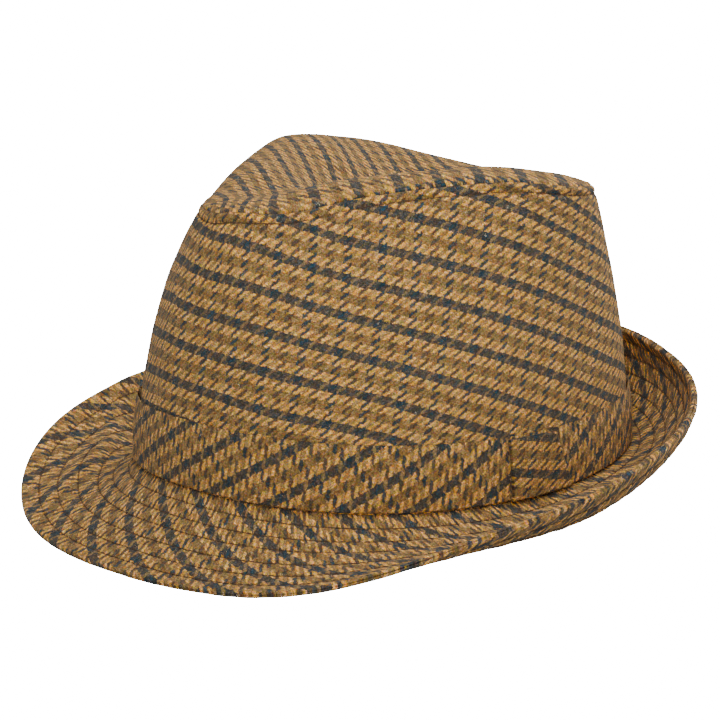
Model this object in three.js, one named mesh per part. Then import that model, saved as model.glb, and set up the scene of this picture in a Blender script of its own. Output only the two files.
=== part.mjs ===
// Cloth trilby: creased teardrop crown, bias band with a small tab, and a stitched two-layer brim.
// Millimetres, +Z up. The front of the hat points to -Y and the wearer's left is +X.
// The hat is shaped in a head frame, whose XY plane holds the seam of crown and brim, and is then
// tipped back until it rests on the front edge and the rear underside of its brim.

import * as THREE from 'three';
import { mergeVertices } from 'three/addons/utils/BufferGeometryUtils.js';

// Driving dimensions
const CLOTH = 2.0; // crown wall, cloth with its backing
const BAND_CLOTH = 1.6; // band and tab, cloth folded double
const BRIM_LAYER = 1.4; // each of the two brim layers
const CLEARANCE = 0.3; // gap that pieces keep from each other
const BRIM_THICKNESS = 2 * BRIM_LAYER + CLEARANCE;

// Head oval, where crown and brim meet, measured on the outside of the cloth
const HEAD_OVAL = { halfWidth: 89, halfLength: 99.4, power: 2.3, egg: 0.02, blunt: 0, shiftY: 0 };
const HEAD_SADDLE = { frontRise: 1.3, endRise: 2.9 };

// Seam of the tip, a teardrop that narrows to the front
const TIP_OVAL = { halfWidth: 62, halfLength: 80.3, power: 2.24, egg: 0.63, blunt: 0.13, shiftY: -4.1 };

// Top of the crown: height of the two ridges and depth and half width of the crease between them
const CREASE_STATIONS = [
  { y: -82, ridge: 124, depth: 3, halfWidth: 17 },
  { y: -63, ridge: 121, depth: 7, halfWidth: 20 },
  { y: -39, ridge: 122.3, depth: 9.5, halfWidth: 20.5 },
  { y: 0, ridge: 122.8, depth: 25, halfWidth: 27.5 },
  { y: 39, ridge: 116.5, depth: 18.5, halfWidth: 35 },
  { y: 77, ridge: 109.7, depth: 3.5, halfWidth: 38.5 },
];
const CREASE_POWER = 1.8; // how flat the bottom of the crease is
const CREASE_SOFTNESS = 0.1; // rounds its very bottom
const SHOULDER_DROP = { side: 5, front: 9.4 }; // ridge down to the tip seam
const SHOULDER_START = 0.7; // share of the way out where the shoulder begins

const WALL_LEAN_POWER = 2.1; // the wall stands upright at the head and leans in toward the tip

// Band
const BAND_HEIGHT = { middle: 25.5, frontRise: 2.2 };
const BAND_LIFT = 0.9; // the lower edge stays this far above the brim

// Tab over the join of the band, at the wearer's left
const TAB = { front: 80, rearTop: 95, rearFoot: 100, thickness: 1.5, belowTop: 0.8 };

// Brim by angle from the front: slope at the crown, slope at the edge, how the bend is spread, width
const BRIM_STATIONS = [
  { angle: 0, slopeIn: -45, slopeOut: -8, spread: 0.75, width: 49.5 },
  { angle: 30, slopeIn: -42, slopeOut: -2, spread: 0.73, width: 51 },
  { angle: 60, slopeIn: -40, slopeOut: 42, spread: 0.76, width: 53.5 },
  { angle: 90, slopeIn: -31, slopeOut: 64, spread: 0.84, width: 53.5 },
  { angle: 120, slopeIn: -10, slopeOut: 74, spread: 0.8, width: 45.5 },
  { angle: 150, slopeIn: -6, slopeOut: 118, spread: 0.86, width: 40.5 },
  { angle: 180, slopeIn: -8, slopeOut: 114, spread: 0.9, width: 41 },
];

// Resting on a level surface
const REST_TIP_DEG = 4; // how far the hat leans back when it lies by itself
const PRESSED = 0.8; // how far the brim is flattened where it touches

// Fineness of the faceted walls
const SEGMENTS = 48;
const WALL_ROWS = [0, 0.13, 0.26, 0.39, 0.52, 0.64, 0.75, 0.85, 0.93, 1];
const TIP_ROWS = [1, 0.94, 0.87, 0.8, 0.71, 0.6, 0.48, 0.36, 0.24, 0.12, 0];
const BAND_ROWS = [0, 0.33, 0.67, 1];
const BRIM_ROWS = [0, 0.14, 0.28, 0.42, 0.56, 0.7, 0.83, 0.92, 1];
const BRIM_STEPS = 60; // steps of the sum that bends the brim

const rad = THREE.MathUtils.degToRad;
const TWO_PI = 2 * Math.PI;

// Smooth curve through the rows of a table that never overshoots them
function throughTable(rows, xKey, yKey, x) {
  const last = rows.length - 1;
  const secant = (i) => (rows[i + 1][yKey] - rows[i][yKey]) / (rows[i + 1][xKey] - rows[i][xKey]);
  const slope = (i) => {
    if (i === 0) return secant(0);
    if (i === last) return secant(last - 1);
    const before = secant(i - 1);
    const after = secant(i);
    return before * after <= 0 ? 0 : (2 * before * after) / (before + after);
  };
  const held = THREE.MathUtils.clamp(x, rows[0][xKey], rows[last][xKey]);
  let i = 0;
  while (i < last - 1 && held > rows[i + 1][xKey]) i += 1;
  const span = rows[i + 1][xKey] - rows[i][xKey];
  const t = (held - rows[i][xKey]) / span;
  const t2 = t * t;
  const t3 = t2 * t;
  return (2 * t3 - 3 * t2 + 1) * rows[i][yKey] + (t3 - 2 * t2 + t) * span * slope(i)
    + (3 * t2 - 2 * t3) * rows[i + 1][yKey] + (t3 - t2) * span * slope(i + 1);
}

// The same for the brim, whose left and right sides mirror each other
function brimValue(key, phi) {
  const turn = THREE.MathUtils.euclideanModulo(phi, TWO_PI);
  const angle = THREE.MathUtils.radToDeg(turn > Math.PI ? TWO_PI - turn : turn);
  const step = BRIM_STATIONS[1].angle;
  const count = BRIM_STATIONS.length - 1;
  const i = Math.min(Math.floor(angle / step), count - 1);
  const mirrored = (k) => BRIM_STATIONS[count - Math.abs(count - Math.abs(k))][key];
  const t = angle / step - i;
  const [a, b, c, d] = [mirrored(i - 1), mirrored(i), mirrored(i + 1), mirrored(i + 2)];
  return b + 0.5 * t * (c - a + t * (2 * a - 5 * b + 4 * c - d + t * (3 * (b - c) + d - a)));
}

// Egg-shaped oval with a blunted front, phi turning from the front to the wearer's left
function ovalPoint(oval, phi) {
  const s = Math.sin(phi);
  const c = Math.cos(phi);
  const radius = (Math.abs(s / oval.halfWidth) ** oval.power
    + Math.abs(c / oval.halfLength) ** oval.power) ** (-1 / oval.power);
  const blunted = 1 + (oval.blunt * Math.max(c, 0) ** 2) / (1 - 0.5 * oval.egg * c);
  return new THREE.Vector2(radius * s * (1 - oval.egg * c) * blunted, oval.shiftY - radius * c);
}

// Outward direction of the head oval, level
function outward(phi) {
  const step = 1e-3;
  const along = ovalPoint(HEAD_OVAL, phi + step).sub(ovalPoint(HEAD_OVAL, phi - step)).normalize();
  return new THREE.Vector3(along.y, -along.x, 0);
}

function headPoint(phi) {
  const plan = ovalPoint(HEAD_OVAL, phi);
  const z = HEAD_SADDLE.frontRise * Math.cos(phi) + HEAD_SADDLE.endRise * Math.cos(2 * phi);
  return new THREE.Vector3(plan.x, plan.y, z);
}

// Outside of the tip: share 0 is its middle and share 1 its seam
function tipPoint(phi, share) {
  const seam = ovalPoint(TIP_OVAL, phi);
  const x = seam.x * share;
  const y = TIP_OVAL.shiftY + (seam.y - TIP_OVAL.shiftY) * share;
  const ridge = throughTable(CREASE_STATIONS, 'y', 'ridge', y);
  const depth = throughTable(CREASE_STATIONS, 'y', 'depth', y);
  const halfWidth = throughTable(CREASE_STATIONS, 'y', 'halfWidth', y);
  const across = Math.hypot(x / halfWidth, CREASE_SOFTNESS);
  const frontness = Math.max(Math.cos(phi), 0) ** 2;
  const drop = THREE.MathUtils.lerp(SHOULDER_DROP.side, SHOULDER_DROP.front, frontness);
  const shoulder = Math.max((share - SHOULDER_START) / (1 - SHOULDER_START), 0) ** 2;
  const z = ridge - drop * shoulder - depth * Math.exp(-(across ** CREASE_POWER));
  return new THREE.Vector3(x, y, z);
}

// Outside of the crown wall: height 0 is the head oval and height 1 the tip seam
function wallPoint(phi, height) {
  const foot = headPoint(phi);
  const top = tipPoint(phi, 1);
  const lean = Math.max(height, 0) ** WALL_LEAN_POWER;
  return new THREE.Vector3(
    THREE.MathUtils.lerp(foot.x, top.x, lean),
    THREE.MathUtils.lerp(foot.y, top.y, lean),
    THREE.MathUtils.lerp(foot.z, top.z, height),
  );
}

// Upper face of the brim: share 0 is the crown and share 1 the edge. Depth goes down through the cloth.
function brimPoint(phi, share, depth) {
  const width = brimValue('width', phi);
  const slopeIn = brimValue('slopeIn', phi);
  const slopeOut = brimValue('slopeOut', phi);
  const spread = brimValue('spread', phi);
  const slopeAt = (s) => rad(slopeIn + (slopeOut - slopeIn) * Math.max(s, 0) ** spread);
  const steps = Math.max(Math.round(BRIM_STEPS * share), 1);
  const run = (width * share) / steps;
  let out = 0;
  let up = 0;
  for (let i = 0; i < steps; i += 1) {
    const slope = slopeAt((share * (i + 0.5)) / steps);
    out += Math.cos(slope) * run;
    up += Math.sin(slope) * run;
  }
  const slope = slopeAt(share);
  out += depth * Math.sin(slope);
  up -= depth * Math.cos(slope);
  return headPoint(phi).addScaledVector(outward(phi), out).add(new THREE.Vector3(0, 0, up));
}

// Outward normal of a surface given by two numbers
function normalOf(surface, a, b, along = 1) {
  const step = 1e-3;
  const da = surface(a + step, b).sub(surface(a - step, b));
  const db = surface(a, b + step).sub(surface(a, b - step));
  return da.cross(db).normalize().multiplyScalar(along);
}

const wallNormal = (phi, height) => normalOf(wallPoint, phi, Math.max(height, 2e-3));
const tipNormal = (phi, share) => (share < 0.02
  ? normalOf((x, y) => tipPoint(Math.atan2(x, -y), Math.hypot(x, y)), 0.02, -0.02)
  : normalOf(tipPoint, phi, share, -1));

// Where the inside of wall and tip meet under their seam
function innerSeam(phi) {
  const wall = wallNormal(phi, 1);
  const tip = tipNormal(phi, 1);
  const mitre = wall.clone().add(tip).multiplyScalar(CLOTH / (1 + wall.dot(tip)));
  return tipPoint(phi, 1).sub(mitre);
}

// Where the inside of the wall meets the underside of the brim
function innerFoot(phi) {
  const slope = rad(brimValue('slopeIn', phi));
  const out = -CLOTH;
  const up = (-BRIM_THICKNESS - CLOTH * Math.sin(slope)) / Math.cos(slope);
  return headPoint(phi).addScaledVector(outward(phi), out).add(new THREE.Vector3(0, 0, up));
}

// The surface that the hat lies on, seen from the head frame
const FLOOR_NORMAL = new THREE.Vector3(0, -Math.sin(rad(REST_TIP_DEG)), Math.cos(rad(REST_TIP_DEG)));

function lowestPoint() {
  let lowest = Infinity;
  for (let i = 0; i < 4 * SEGMENTS; i += 1) {
    for (let j = 0; j <= 40; j += 1) {
      const point = brimPoint((TWO_PI * i) / (4 * SEGMENTS), j / 40, BRIM_THICKNESS);
      lowest = Math.min(lowest, point.dot(FLOOR_NORMAL));
    }
  }
  return lowest;
}

const FLOOR_LEVEL = lowestPoint() + PRESSED;

// Brim point after both layers are pushed up together where the underside meets the floor
function restingBrimPoint(phi, share, depth) {
  const under = brimPoint(phi, share, BRIM_THICKNESS).dot(FLOOR_NORMAL);
  return brimPoint(phi, share, depth).addScaledVector(FLOOR_NORMAL, Math.max(FLOOR_LEVEL - under, 0));
}

// Closed mesh from a section that is carried round the head. A section runs anticlockwise, seen with
// its outward side to the right, and rows that shrink to one point become a pole. Its second half is
// the other face of the wall, cut into triangles along the same lines as the first.
function carriedRound(sectionAt) {
  const sections = [];
  for (let i = 0; i < SEGMENTS; i += 1) sections.push(sectionAt((TWO_PI * i) / SEGMENTS));
  const rows = sections[0].length;
  const positions = sections.flat().flatMap((point) => point.toArray());
  const index = [];
  for (let i = 0; i < SEGMENTS; i += 1) {
    const here = i * rows;
    const next = ((i + 1) % SEGMENTS) * rows;
    for (let j = 0; j < rows; j += 1) {
      const k = (j + 1) % rows;
      if (j < rows / 2) {
        index.push(here + j, next + j, next + k);
        index.push(here + j, next + k, here + k);
      } else {
        index.push(here + j, next + j, here + k);
        index.push(next + j, next + k, here + k);
      }
    }
  }
  return welded(positions, index);
}

// Closed mesh of a plate from its two faces, each a grid of points with the same rows and columns
function plate(outerGrid, innerGrid) {
  const rows = outerGrid.length;
  const columns = outerGrid[0].length;
  const positions = [...outerGrid, ...innerGrid].flat().flatMap((point) => point.toArray());
  const at = (face, row, column) => (face * rows + row) * columns + column;
  const index = [];
  const quad = (a, b, c, d) => index.push(a, b, c, a, c, d);
  for (let r = 0; r < rows - 1; r += 1) {
    for (let c = 0; c < columns - 1; c += 1) {
      quad(at(0, r, c), at(0, r, c + 1), at(0, r + 1, c + 1), at(0, r + 1, c));
      quad(at(1, r, c), at(1, r + 1, c), at(1, r + 1, c + 1), at(1, r, c + 1));
    }
  }
  const [top, right] = [rows - 1, columns - 1];
  for (let c = 0; c < columns - 1; c += 1) {
    quad(at(1, 0, c), at(1, 0, c + 1), at(0, 0, c + 1), at(0, 0, c));
    quad(at(0, top, c), at(0, top, c + 1), at(1, top, c + 1), at(1, top, c));
  }
  for (let r = 0; r < rows - 1; r += 1) {
    quad(at(1, r, 0), at(0, r, 0), at(0, r + 1, 0), at(1, r + 1, 0));
    quad(at(0, r, right), at(1, r, right), at(1, r + 1, right), at(0, r + 1, right));
  }
  return welded(positions, index);
}

// Merges equal points and drops the triangles that shrink to nothing at a pole
function welded(positions, index) {
  const geometry = new THREE.BufferGeometry();
  geometry.setAttribute('position', new THREE.Float32BufferAttribute(positions, 3));
  geometry.setIndex(index);
  const merged = mergeVertices(geometry, 1e-3);
  const kept = [];
  const all = merged.index.array;
  for (let i = 0; i < all.length; i += 3) {
    const [a, b, c] = [all[i], all[i + 1], all[i + 2]];
    if (a !== b && b !== c && c !== a) kept.push(a, b, c);
  }
  merged.setIndex(kept);
  merged.computeVertexNormals();
  return merged;
}

// Point moved a short way toward another
const toward = (from, to, distance) => from.clone().add(
  to.clone().sub(from).setLength(distance),
);

// Crown wall: one cloth wall from the head oval to the tip seam
function crownSideGeometry() {
  return carriedRound((phi) => {
    const outer = WALL_ROWS.map((height) => wallPoint(phi, height));
    const inner = WALL_ROWS.map((height) => wallPoint(phi, height)
      .addScaledVector(wallNormal(phi, height), -CLOTH));
    const last = WALL_ROWS.length - 1;
    inner[0] = innerFoot(phi);
    inner[last] = innerSeam(phi);
    for (const side of [outer, inner]) {
      const foot = toward(side[0], side[1], CLEARANCE / 2);
      const head = toward(side[last], side[last - 1], CLEARANCE / 2);
      side[0] = foot;
      side[last] = head;
    }
    return [...outer, ...inner.reverse()];
  });
}

// Tip: the creased top, closed over the middle
function crownTipGeometry() {
  return carriedRound((phi) => {
    const outer = TIP_ROWS.map((share) => tipPoint(phi, share));
    const inner = TIP_ROWS.map((share) => tipPoint(phi, share)
      .addScaledVector(tipNormal(phi, share), -CLOTH));
    inner[0] = innerSeam(phi);
    for (const side of [outer, inner]) side[0] = toward(side[0], side[1], CLEARANCE / 2);
    return [...outer, ...inner.reverse()];
  });
}

const bandHeight = (phi) => BAND_HEIGHT.middle + BAND_HEIGHT.frontRise * Math.cos(phi);

// Height on the wall, as a share of it, of a level this far above the head oval
const wallShare = (phi, level) => level / (tipPoint(phi, 1).z - headPoint(phi).z);

// Point at a distance outside the crown wall
const offWall = (phi, level, distance) => {
  const share = wallShare(phi, level);
  return wallPoint(phi, share).addScaledVector(wallNormal(phi, share), distance);
};

// Band: a strip of folded cloth round the foot of the wall
function bandGeometry() {
  return carriedRound((phi) => {
    const levels = BAND_ROWS.map((row) => THREE.MathUtils.lerp(BAND_LIFT, bandHeight(phi), row));
    const outer = levels.map((level) => offWall(phi, level, CLEARANCE + BAND_CLOTH));
    const inner = levels.map((level) => offWall(phi, level, CLEARANCE));
    return [...outer, ...inner.reverse()];
  });
}

// Tab: a small plate over the band, with a slanted rear edge
function bandTabGeometry() {
  const columns = 9;
  const rows = 5;
  const face = (distance) => Array.from({ length: rows }, (_, r) => {
    const up = r / (rows - 1);
    const rear = THREE.MathUtils.lerp(TAB.rearFoot, TAB.rearTop, up);
    return Array.from({ length: columns }, (__, c) => {
      const phi = rad(THREE.MathUtils.lerp(TAB.front, rear, c / (columns - 1)));
      const level = THREE.MathUtils.lerp(BAND_LIFT, bandHeight(phi) - TAB.belowTop, up);
      return offWall(phi, level, distance);
    });
  });
  const back = CLEARANCE + BAND_CLOTH + CLEARANCE;
  return plate(face(back + TAB.thickness), face(back));
}

// One of the two layers of the brim, between two depths under its upper face
function brimLayerGeometry(upperDepth, lowerDepth) {
  return carriedRound((phi) => {
    const footInner = innerFoot(phi);
    const face = (depth) => {
      const points = BRIM_ROWS.map((share) => restingBrimPoint(phi, share, depth));
      const foot = headPoint(phi).lerp(footInner, depth / BRIM_THICKNESS);
      points[0] = toward(foot, points[1], CLEARANCE / 2);
      return points;
    };
    return [...face(lowerDepth), ...face(upperDepth).reverse()];
  });
}

// Tweed colours, taken as one mean tone per piece
const TWEED = new THREE.MeshStandardMaterial({ color: 0x8c6a3c, roughness: 0.95, metalness: 0 });
const TWEED_BIAS = new THREE.MeshStandardMaterial({ color: 0x85643a, roughness: 0.95, metalness: 0 });
const TWEED_TAB = new THREE.MeshStandardMaterial({ color: 0x7f6038, roughness: 0.95, metalness: 0 });
const TWEED_UNDER = new THREE.MeshStandardMaterial({ color: 0x7c5d36, roughness: 0.95, metalness: 0 });

function named(name, geometry, material) {
  const mesh = new THREE.Mesh(geometry, material);
  mesh.name = name;
  return mesh;
}

const underDepth = BRIM_LAYER + CLEARANCE;
const hat = new THREE.Group();
hat.add(
  named('crown_side', crownSideGeometry(), TWEED),
  named('crown_tip', crownTipGeometry(), TWEED),
  named('band', bandGeometry(), TWEED_BIAS),
  named('band_tab', bandTabGeometry(), TWEED_TAB),
  named('brim_upper', brimLayerGeometry(0, BRIM_LAYER), TWEED),
  named('brim_under', brimLayerGeometry(underDepth, BRIM_THICKNESS), TWEED_UNDER),
);

// Tipped back onto the floor, with the middle of its footprint over the origin
hat.rotation.x = -rad(REST_TIP_DEG);
const part = new THREE.Group();
part.add(hat);
part.updateMatrixWorld(true);
const box = new THREE.Box3().setFromObject(part, true);
const middle = box.getCenter(new THREE.Vector3());
hat.position.set(-middle.x, -middle.y, -box.min.z);
part.updateMatrixWorld(true);

export default part;
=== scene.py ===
"""Blender scene of a creased cloth trilby in a checked tweed, resting on a pale floor."""
import logging
import math
from collections.abc import Callable
from dataclasses import dataclass
from enum import Enum

import bpy
import numpy as np
from mathutils import Matrix, Vector


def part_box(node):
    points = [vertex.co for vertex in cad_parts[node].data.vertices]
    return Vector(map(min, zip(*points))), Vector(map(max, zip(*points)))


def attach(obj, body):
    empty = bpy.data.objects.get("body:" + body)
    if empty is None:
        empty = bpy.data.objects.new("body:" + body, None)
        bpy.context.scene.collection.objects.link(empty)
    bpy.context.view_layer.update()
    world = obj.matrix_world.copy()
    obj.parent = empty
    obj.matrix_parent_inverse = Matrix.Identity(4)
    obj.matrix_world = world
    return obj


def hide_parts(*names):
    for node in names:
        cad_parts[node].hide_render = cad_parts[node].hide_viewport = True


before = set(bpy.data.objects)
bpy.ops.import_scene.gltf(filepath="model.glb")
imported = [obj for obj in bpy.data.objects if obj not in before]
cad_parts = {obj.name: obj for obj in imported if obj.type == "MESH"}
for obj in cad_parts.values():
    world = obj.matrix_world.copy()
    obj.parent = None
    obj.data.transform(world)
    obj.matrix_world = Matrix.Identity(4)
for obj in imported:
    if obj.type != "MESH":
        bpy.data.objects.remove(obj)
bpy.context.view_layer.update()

TWO_PI = 2.0 * math.pi
MM = 0.001
SEED = 20261126
Surface = Callable[[np.ndarray, np.ndarray], np.ndarray]
Track = tuple[np.ndarray, np.ndarray]
log = logging.getLogger("trilby")


class Slot(Enum):
    """Material slots of the record, one for each finish of the cloth pieces."""

    TWEED = "tweed"
    BIAS = "tweed_bias"
    TAB = "tweed_tab"
    BRIM = "tweed_brim"


@dataclass(frozen=True)
class Cloth:
    """Thicknesses and gaps in millimetres, as the CAD model has them."""

    wall: float = 2.0
    band: float = 1.6
    tab: float = 1.5
    brim_layer: float = 1.4
    clearance: float = 0.3

    @property
    def brim(self) -> float:
        """Thickness of both brim layers together with the gap between them."""
        return 2.0 * self.brim_layer + self.clearance


CLOTH = Cloth()


@dataclass(frozen=True)
class Oval:
    """Egg-shaped oval with a blunted front, in millimetres."""

    half_width: float
    half_length: float
    power: float
    egg: float
    blunt: float = 0.0
    shift_y: float = 0.0

    def points(self, phi: np.ndarray) -> tuple[np.ndarray, np.ndarray]:
        """Plan of the oval: a superellipse radius, narrowed to the back and widened at the front.

        Args:
            phi: angles from the front toward the wearer's left.

        Returns:
            The x and y of each point.
        """
        s, c = np.sin(phi), np.cos(phi)
        power = self.power
        radius = (np.abs(s / self.half_width) ** power
                  + np.abs(c / self.half_length) ** power) ** (-1.0 / power)
        blunted = 1.0 + self.blunt * np.maximum(c, 0.0) ** 2 / (1.0 - 0.5 * self.egg * c)
        return radius * s * (1.0 - self.egg * c) * blunted, self.shift_y - radius * c


def through_table(knots: np.ndarray, values: np.ndarray, x: np.ndarray) -> np.ndarray:
    """Monotone cubic through a small table: harmonic mean slopes, so that it never overshoots.

    Args:
        knots: rising positions of the rows.
        values: value of each row.
        x: where the curve is wanted; held inside the table.

    Returns:
        The curve at x.
    """
    secant = np.diff(values) / np.diff(knots)
    slope = np.concatenate([secant[:1], np.zeros(len(knots) - 2), secant[-1:]])
    product = secant[:-1] * secant[1:]
    total = secant[:-1] + secant[1:]
    slope[1:-1] = np.where(product > 0.0, 2.0 * product / np.where(total == 0.0, 1.0, total), 0.0)
    held = np.clip(x, knots[0], knots[-1])
    i = np.clip(np.searchsorted(knots, held) - 1, 0, len(knots) - 2)
    span = knots[i + 1] - knots[i]
    t = (held - knots[i]) / span
    return ((2 * t ** 3 - 3 * t ** 2 + 1) * values[i] + (t ** 3 - 2 * t ** 2 + t) * span * slope[i]
            + (3 * t ** 2 - 2 * t ** 3) * values[i + 1] + (t ** 3 - t ** 2) * span * slope[i + 1])


@dataclass(frozen=True)
class HatForm:
    """Outer surfaces of the hat in millimetres, in the frame of its head oval.

    The front points to -Y, the wearer's left is +X, and the seam of crown and brim lies near z = 0.

    Attributes:
        head: oval at the foot of the crown.
        tip: teardrop at the seam of the top.
        saddle_front: rise of the head oval at the front and fall at the back.
        saddle_ends: its rise at both ends and fall at both sides.
        crease_power: how square the crease is.
        crease_softness: rounding of its bottom, as a share of its half width.
        shoulder_side: fall of the top to its seam at the sides and the back.
        shoulder_front: the same at the front.
        shoulder_start: share of the way to the seam where the shoulder begins.
        wall_lean: power by which the plan of the wall leans to the tip.
        wall_foot: height of the wall, as a share, under which its normal stays the same.
        band_middle: mean level of the band's upper edge.
        band_front_rise: how much higher it is at the front.
        rest_tip_deg: how far the hat leans back as it rests.
        pressed: how far the lowest cloth is pressed flat.
        swell: height of the crest on the brim.
        swell_at_deg: turn of the crest from the front.
        swell_reach_deg: turn over which it falls off.
        crest_share: share of the width at which it lies.
        crest_bow: how that grows with the square of the turn from its middle.
        crest_reach: share of the width over which it falls off.
        crest_ease: share of the width over which it begins at the crown.
        brim_steps: steps of the path across the brim.
        brim_spacing_deg: turn from one row of the brim's table to the next.
    """

    head: Oval = Oval(89.0, 99.4, 2.3, 0.02)
    tip: Oval = Oval(62.0, 80.3, 2.24, 0.63, 0.13, -4.1)
    saddle_front: float = 1.3
    saddle_ends: float = 2.9
    crease_power: float = 1.8
    crease_softness: float = 0.1
    shoulder_side: float = 5.0
    shoulder_front: float = 9.4
    shoulder_start: float = 0.7
    wall_lean: float = 2.1
    wall_foot: float = 2e-3
    band_middle: float = 25.5
    band_front_rise: float = 2.2
    rest_tip_deg: float = 4.0
    pressed: float = 0.8
    swell: float = 4.5
    swell_at_deg: float = -52.0
    swell_reach_deg: float = 17.0
    crest_share: float = 0.50
    crest_bow: float = 0.0007
    crest_reach: float = 0.13
    crest_ease: float = 0.25
    brim_steps: int = 60
    brim_spacing_deg: float = 30.0

    def crease(self) -> np.ndarray:
        """Rows of the creased top: place along Y, ridge height, crease depth, crease half width."""
        return np.array([[-82.0, 124.0, 3.0, 17.0], [-63.0, 121.0, 7.0, 20.0],
                         [-39.0, 122.3, 9.5, 20.5], [0.0, 122.8, 25.0, 27.5],
                         [39.0, 116.5, 18.5, 35.0], [77.0, 109.7, 3.5, 38.5]])

    def brim_rows(self) -> np.ndarray:
        """Rows of the brim, 30 degrees apart from the front: slopes in and out, spread, width.

        Returns:
            A table with a row for each place.
        """
        return np.array([[-45.0, -8.0, 0.75, 49.5], [-42.0, -2.0, 0.73, 51.0],
                         [-40.0, 42.0, 0.76, 53.5], [-31.0, 64.0, 0.84, 53.5],
                         [-10.0, 74.0, 0.80, 45.5], [-6.0, 118.0, 0.86, 40.5],
                         [-8.0, 114.0, 0.90, 41.0]])

    def brim_values(self, phi: np.ndarray) -> np.ndarray:
        """Catmull-Rom curve through the mirrored rows of the brim.

        Args:
            phi: angles from the front.

        Returns:
            The four values at each angle, one row each.
        """
        rows = self.brim_rows()
        last = len(rows) - 1
        angle = np.degrees(np.abs((phi + math.pi) % TWO_PI - math.pi))
        place = angle / self.brim_spacing_deg
        i = np.clip(np.floor(place).astype(int), 0, last - 1)
        t = (place - i)[:, None]
        a, b, c, d = (rows[last - np.abs(last - np.abs(i + k))] for k in (-1, 0, 1, 2))
        curve = b + 0.5 * t * (c - a + t * (2 * a - 5 * b + 4 * c - d + t * (3 * (b - c) + d - a)))
        return curve.T

    def foot(self, phi: np.ndarray) -> np.ndarray:
        """Points of the head oval, raised a little at the front and at both ends."""
        x, y = self.head.points(phi)
        z = self.saddle_front * np.cos(phi) + self.saddle_ends * np.cos(2.0 * phi)
        return np.stack([x, y, z], axis=-1)

    def outward(self, phi: np.ndarray) -> np.ndarray:
        """Level direction that leaves the head oval at right angles.

        Args:
            phi: angles from the front.

        Returns:
            Unit vectors on a last axis.
        """
        step = 1e-3
        x0, y0 = self.head.points(phi - step)
        x1, y1 = self.head.points(phi + step)
        length = np.hypot(x1 - x0, y1 - y0)
        return np.stack([(y1 - y0) / length, (x0 - x1) / length, np.zeros_like(length)], axis=-1)

    def tip_point(self, phi: np.ndarray, share: np.ndarray) -> np.ndarray:
        """Creased top: ridge height less a shoulder toward the seam and less a bell-shaped crease.

        Args:
            phi: angles from the front.
            share: 0 at the middle of the tip and 1 on its seam.

        Returns:
            Points, one for each pair.
        """
        seam_x, seam_y = self.tip.points(phi)
        x = seam_x * share
        y = self.tip.shift_y + (seam_y - self.tip.shift_y) * share
        front = np.maximum(np.cos(phi), 0.0) ** 2
        drop = self.shoulder_side + (self.shoulder_front - self.shoulder_side) * front
        late = np.maximum((share - self.shoulder_start) / (1.0 - self.shoulder_start), 0.0) ** 2
        return np.stack([x, y, self.crease_height(x, y) - drop * late], axis=-1)

    def crease_height(self, x: np.ndarray, y: np.ndarray) -> np.ndarray:
        """Height of the top over a plan position, before its shoulder falls to the seam.

        Args:
            x: distances to the wearer's left of the middle.
            y: distances behind the centre of the oval.

        Returns:
            Heights over the head oval, of the shape of x.
        """
        table = self.crease()
        ridge, depth, half_width = (through_table(table[:, 0], table[:, k], y) for k in (1, 2, 3))
        across = np.hypot(x / half_width, self.crease_softness)
        return ridge - depth * np.exp(-across ** self.crease_power)

    def wall_point(self, phi: np.ndarray, height: np.ndarray) -> np.ndarray:
        """Crown wall: straight up in height, while its plan leans from head oval to tip seam.

        Args:
            phi: angles from the front.
            height: 0 at the head oval and 1 at the seam.

        Returns:
            Points in the head frame on a last axis.
        """
        foot = self.foot(phi)
        top = self.tip_point(phi, np.ones_like(phi))
        lean = (np.maximum(height, 0.0) ** self.wall_lean)[..., None]
        rise = np.asarray(height)[..., None]
        return foot + (top - foot) * np.concatenate([lean, lean, rise], axis=-1)

    def brim_point(self, phi: np.ndarray, share: np.ndarray, depth: np.ndarray) -> np.ndarray:
        """Brim: the slope turns from its inner to its outer value, and the path is its summed run.

        Args:
            phi: angles from the front, one for each section.
            share: 0 at the crown and 1 at the edge, one for each row.
            depth: distance under the upper face, one for each row.

        Returns:
            Points with a section for each angle and a row for each share.
        """
        slope_in, slope_out, spread, width = (v[:, None] for v in self.brim_values(phi))
        knots = np.arange(self.brim_steps + 1) / self.brim_steps
        middles = (knots[1:] + knots[:-1]) / 2.0
        bend = np.radians(slope_in + (slope_out - slope_in) * middles ** spread)
        run = width / self.brim_steps
        zero = np.zeros((len(phi), 1))
        out_knots = np.concatenate([zero, np.cumsum(np.cos(bend) * run, axis=1)], axis=1)
        up_knots = np.concatenate([zero, np.cumsum(np.sin(bend) * run, axis=1)], axis=1)
        place = np.clip(share, 0.0, 1.0) * self.brim_steps
        k = np.minimum(place.astype(int), self.brim_steps - 1)
        part = place - k
        slope = np.radians(slope_in + (slope_out - slope_in) * np.clip(share, 0.0, 1.0) ** spread)
        out = out_knots[:, k] * (1.0 - part) + out_knots[:, k + 1] * part + depth * np.sin(slope)
        up = up_knots[:, k] * (1.0 - part) + up_knots[:, k + 1] * part - depth * np.cos(slope)
        points = self.foot(phi)[:, None] + self.outward(phi)[:, None] * out[..., None]
        points[..., 2] += up
        return points

    def floor_normal(self) -> np.ndarray:
        """Upward direction of the floor, seen from the head frame."""
        tip = math.radians(self.rest_tip_deg)
        return np.array([0.0, -math.sin(tip), math.cos(tip)])

    def floor_level(self) -> float:
        """Height of the floor along its normal, after the lowest cloth is pressed flat.

        Returns:
            The height in the head frame, in millimetres.
        """
        phi = np.linspace(0.0, TWO_PI, 192, endpoint=False)
        shares = np.linspace(0.0, 1.0, 41)
        under = self.brim_point(phi, shares, np.full(41, CLOTH.brim))
        return float((under @ self.floor_normal()).min()) + self.pressed

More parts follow.
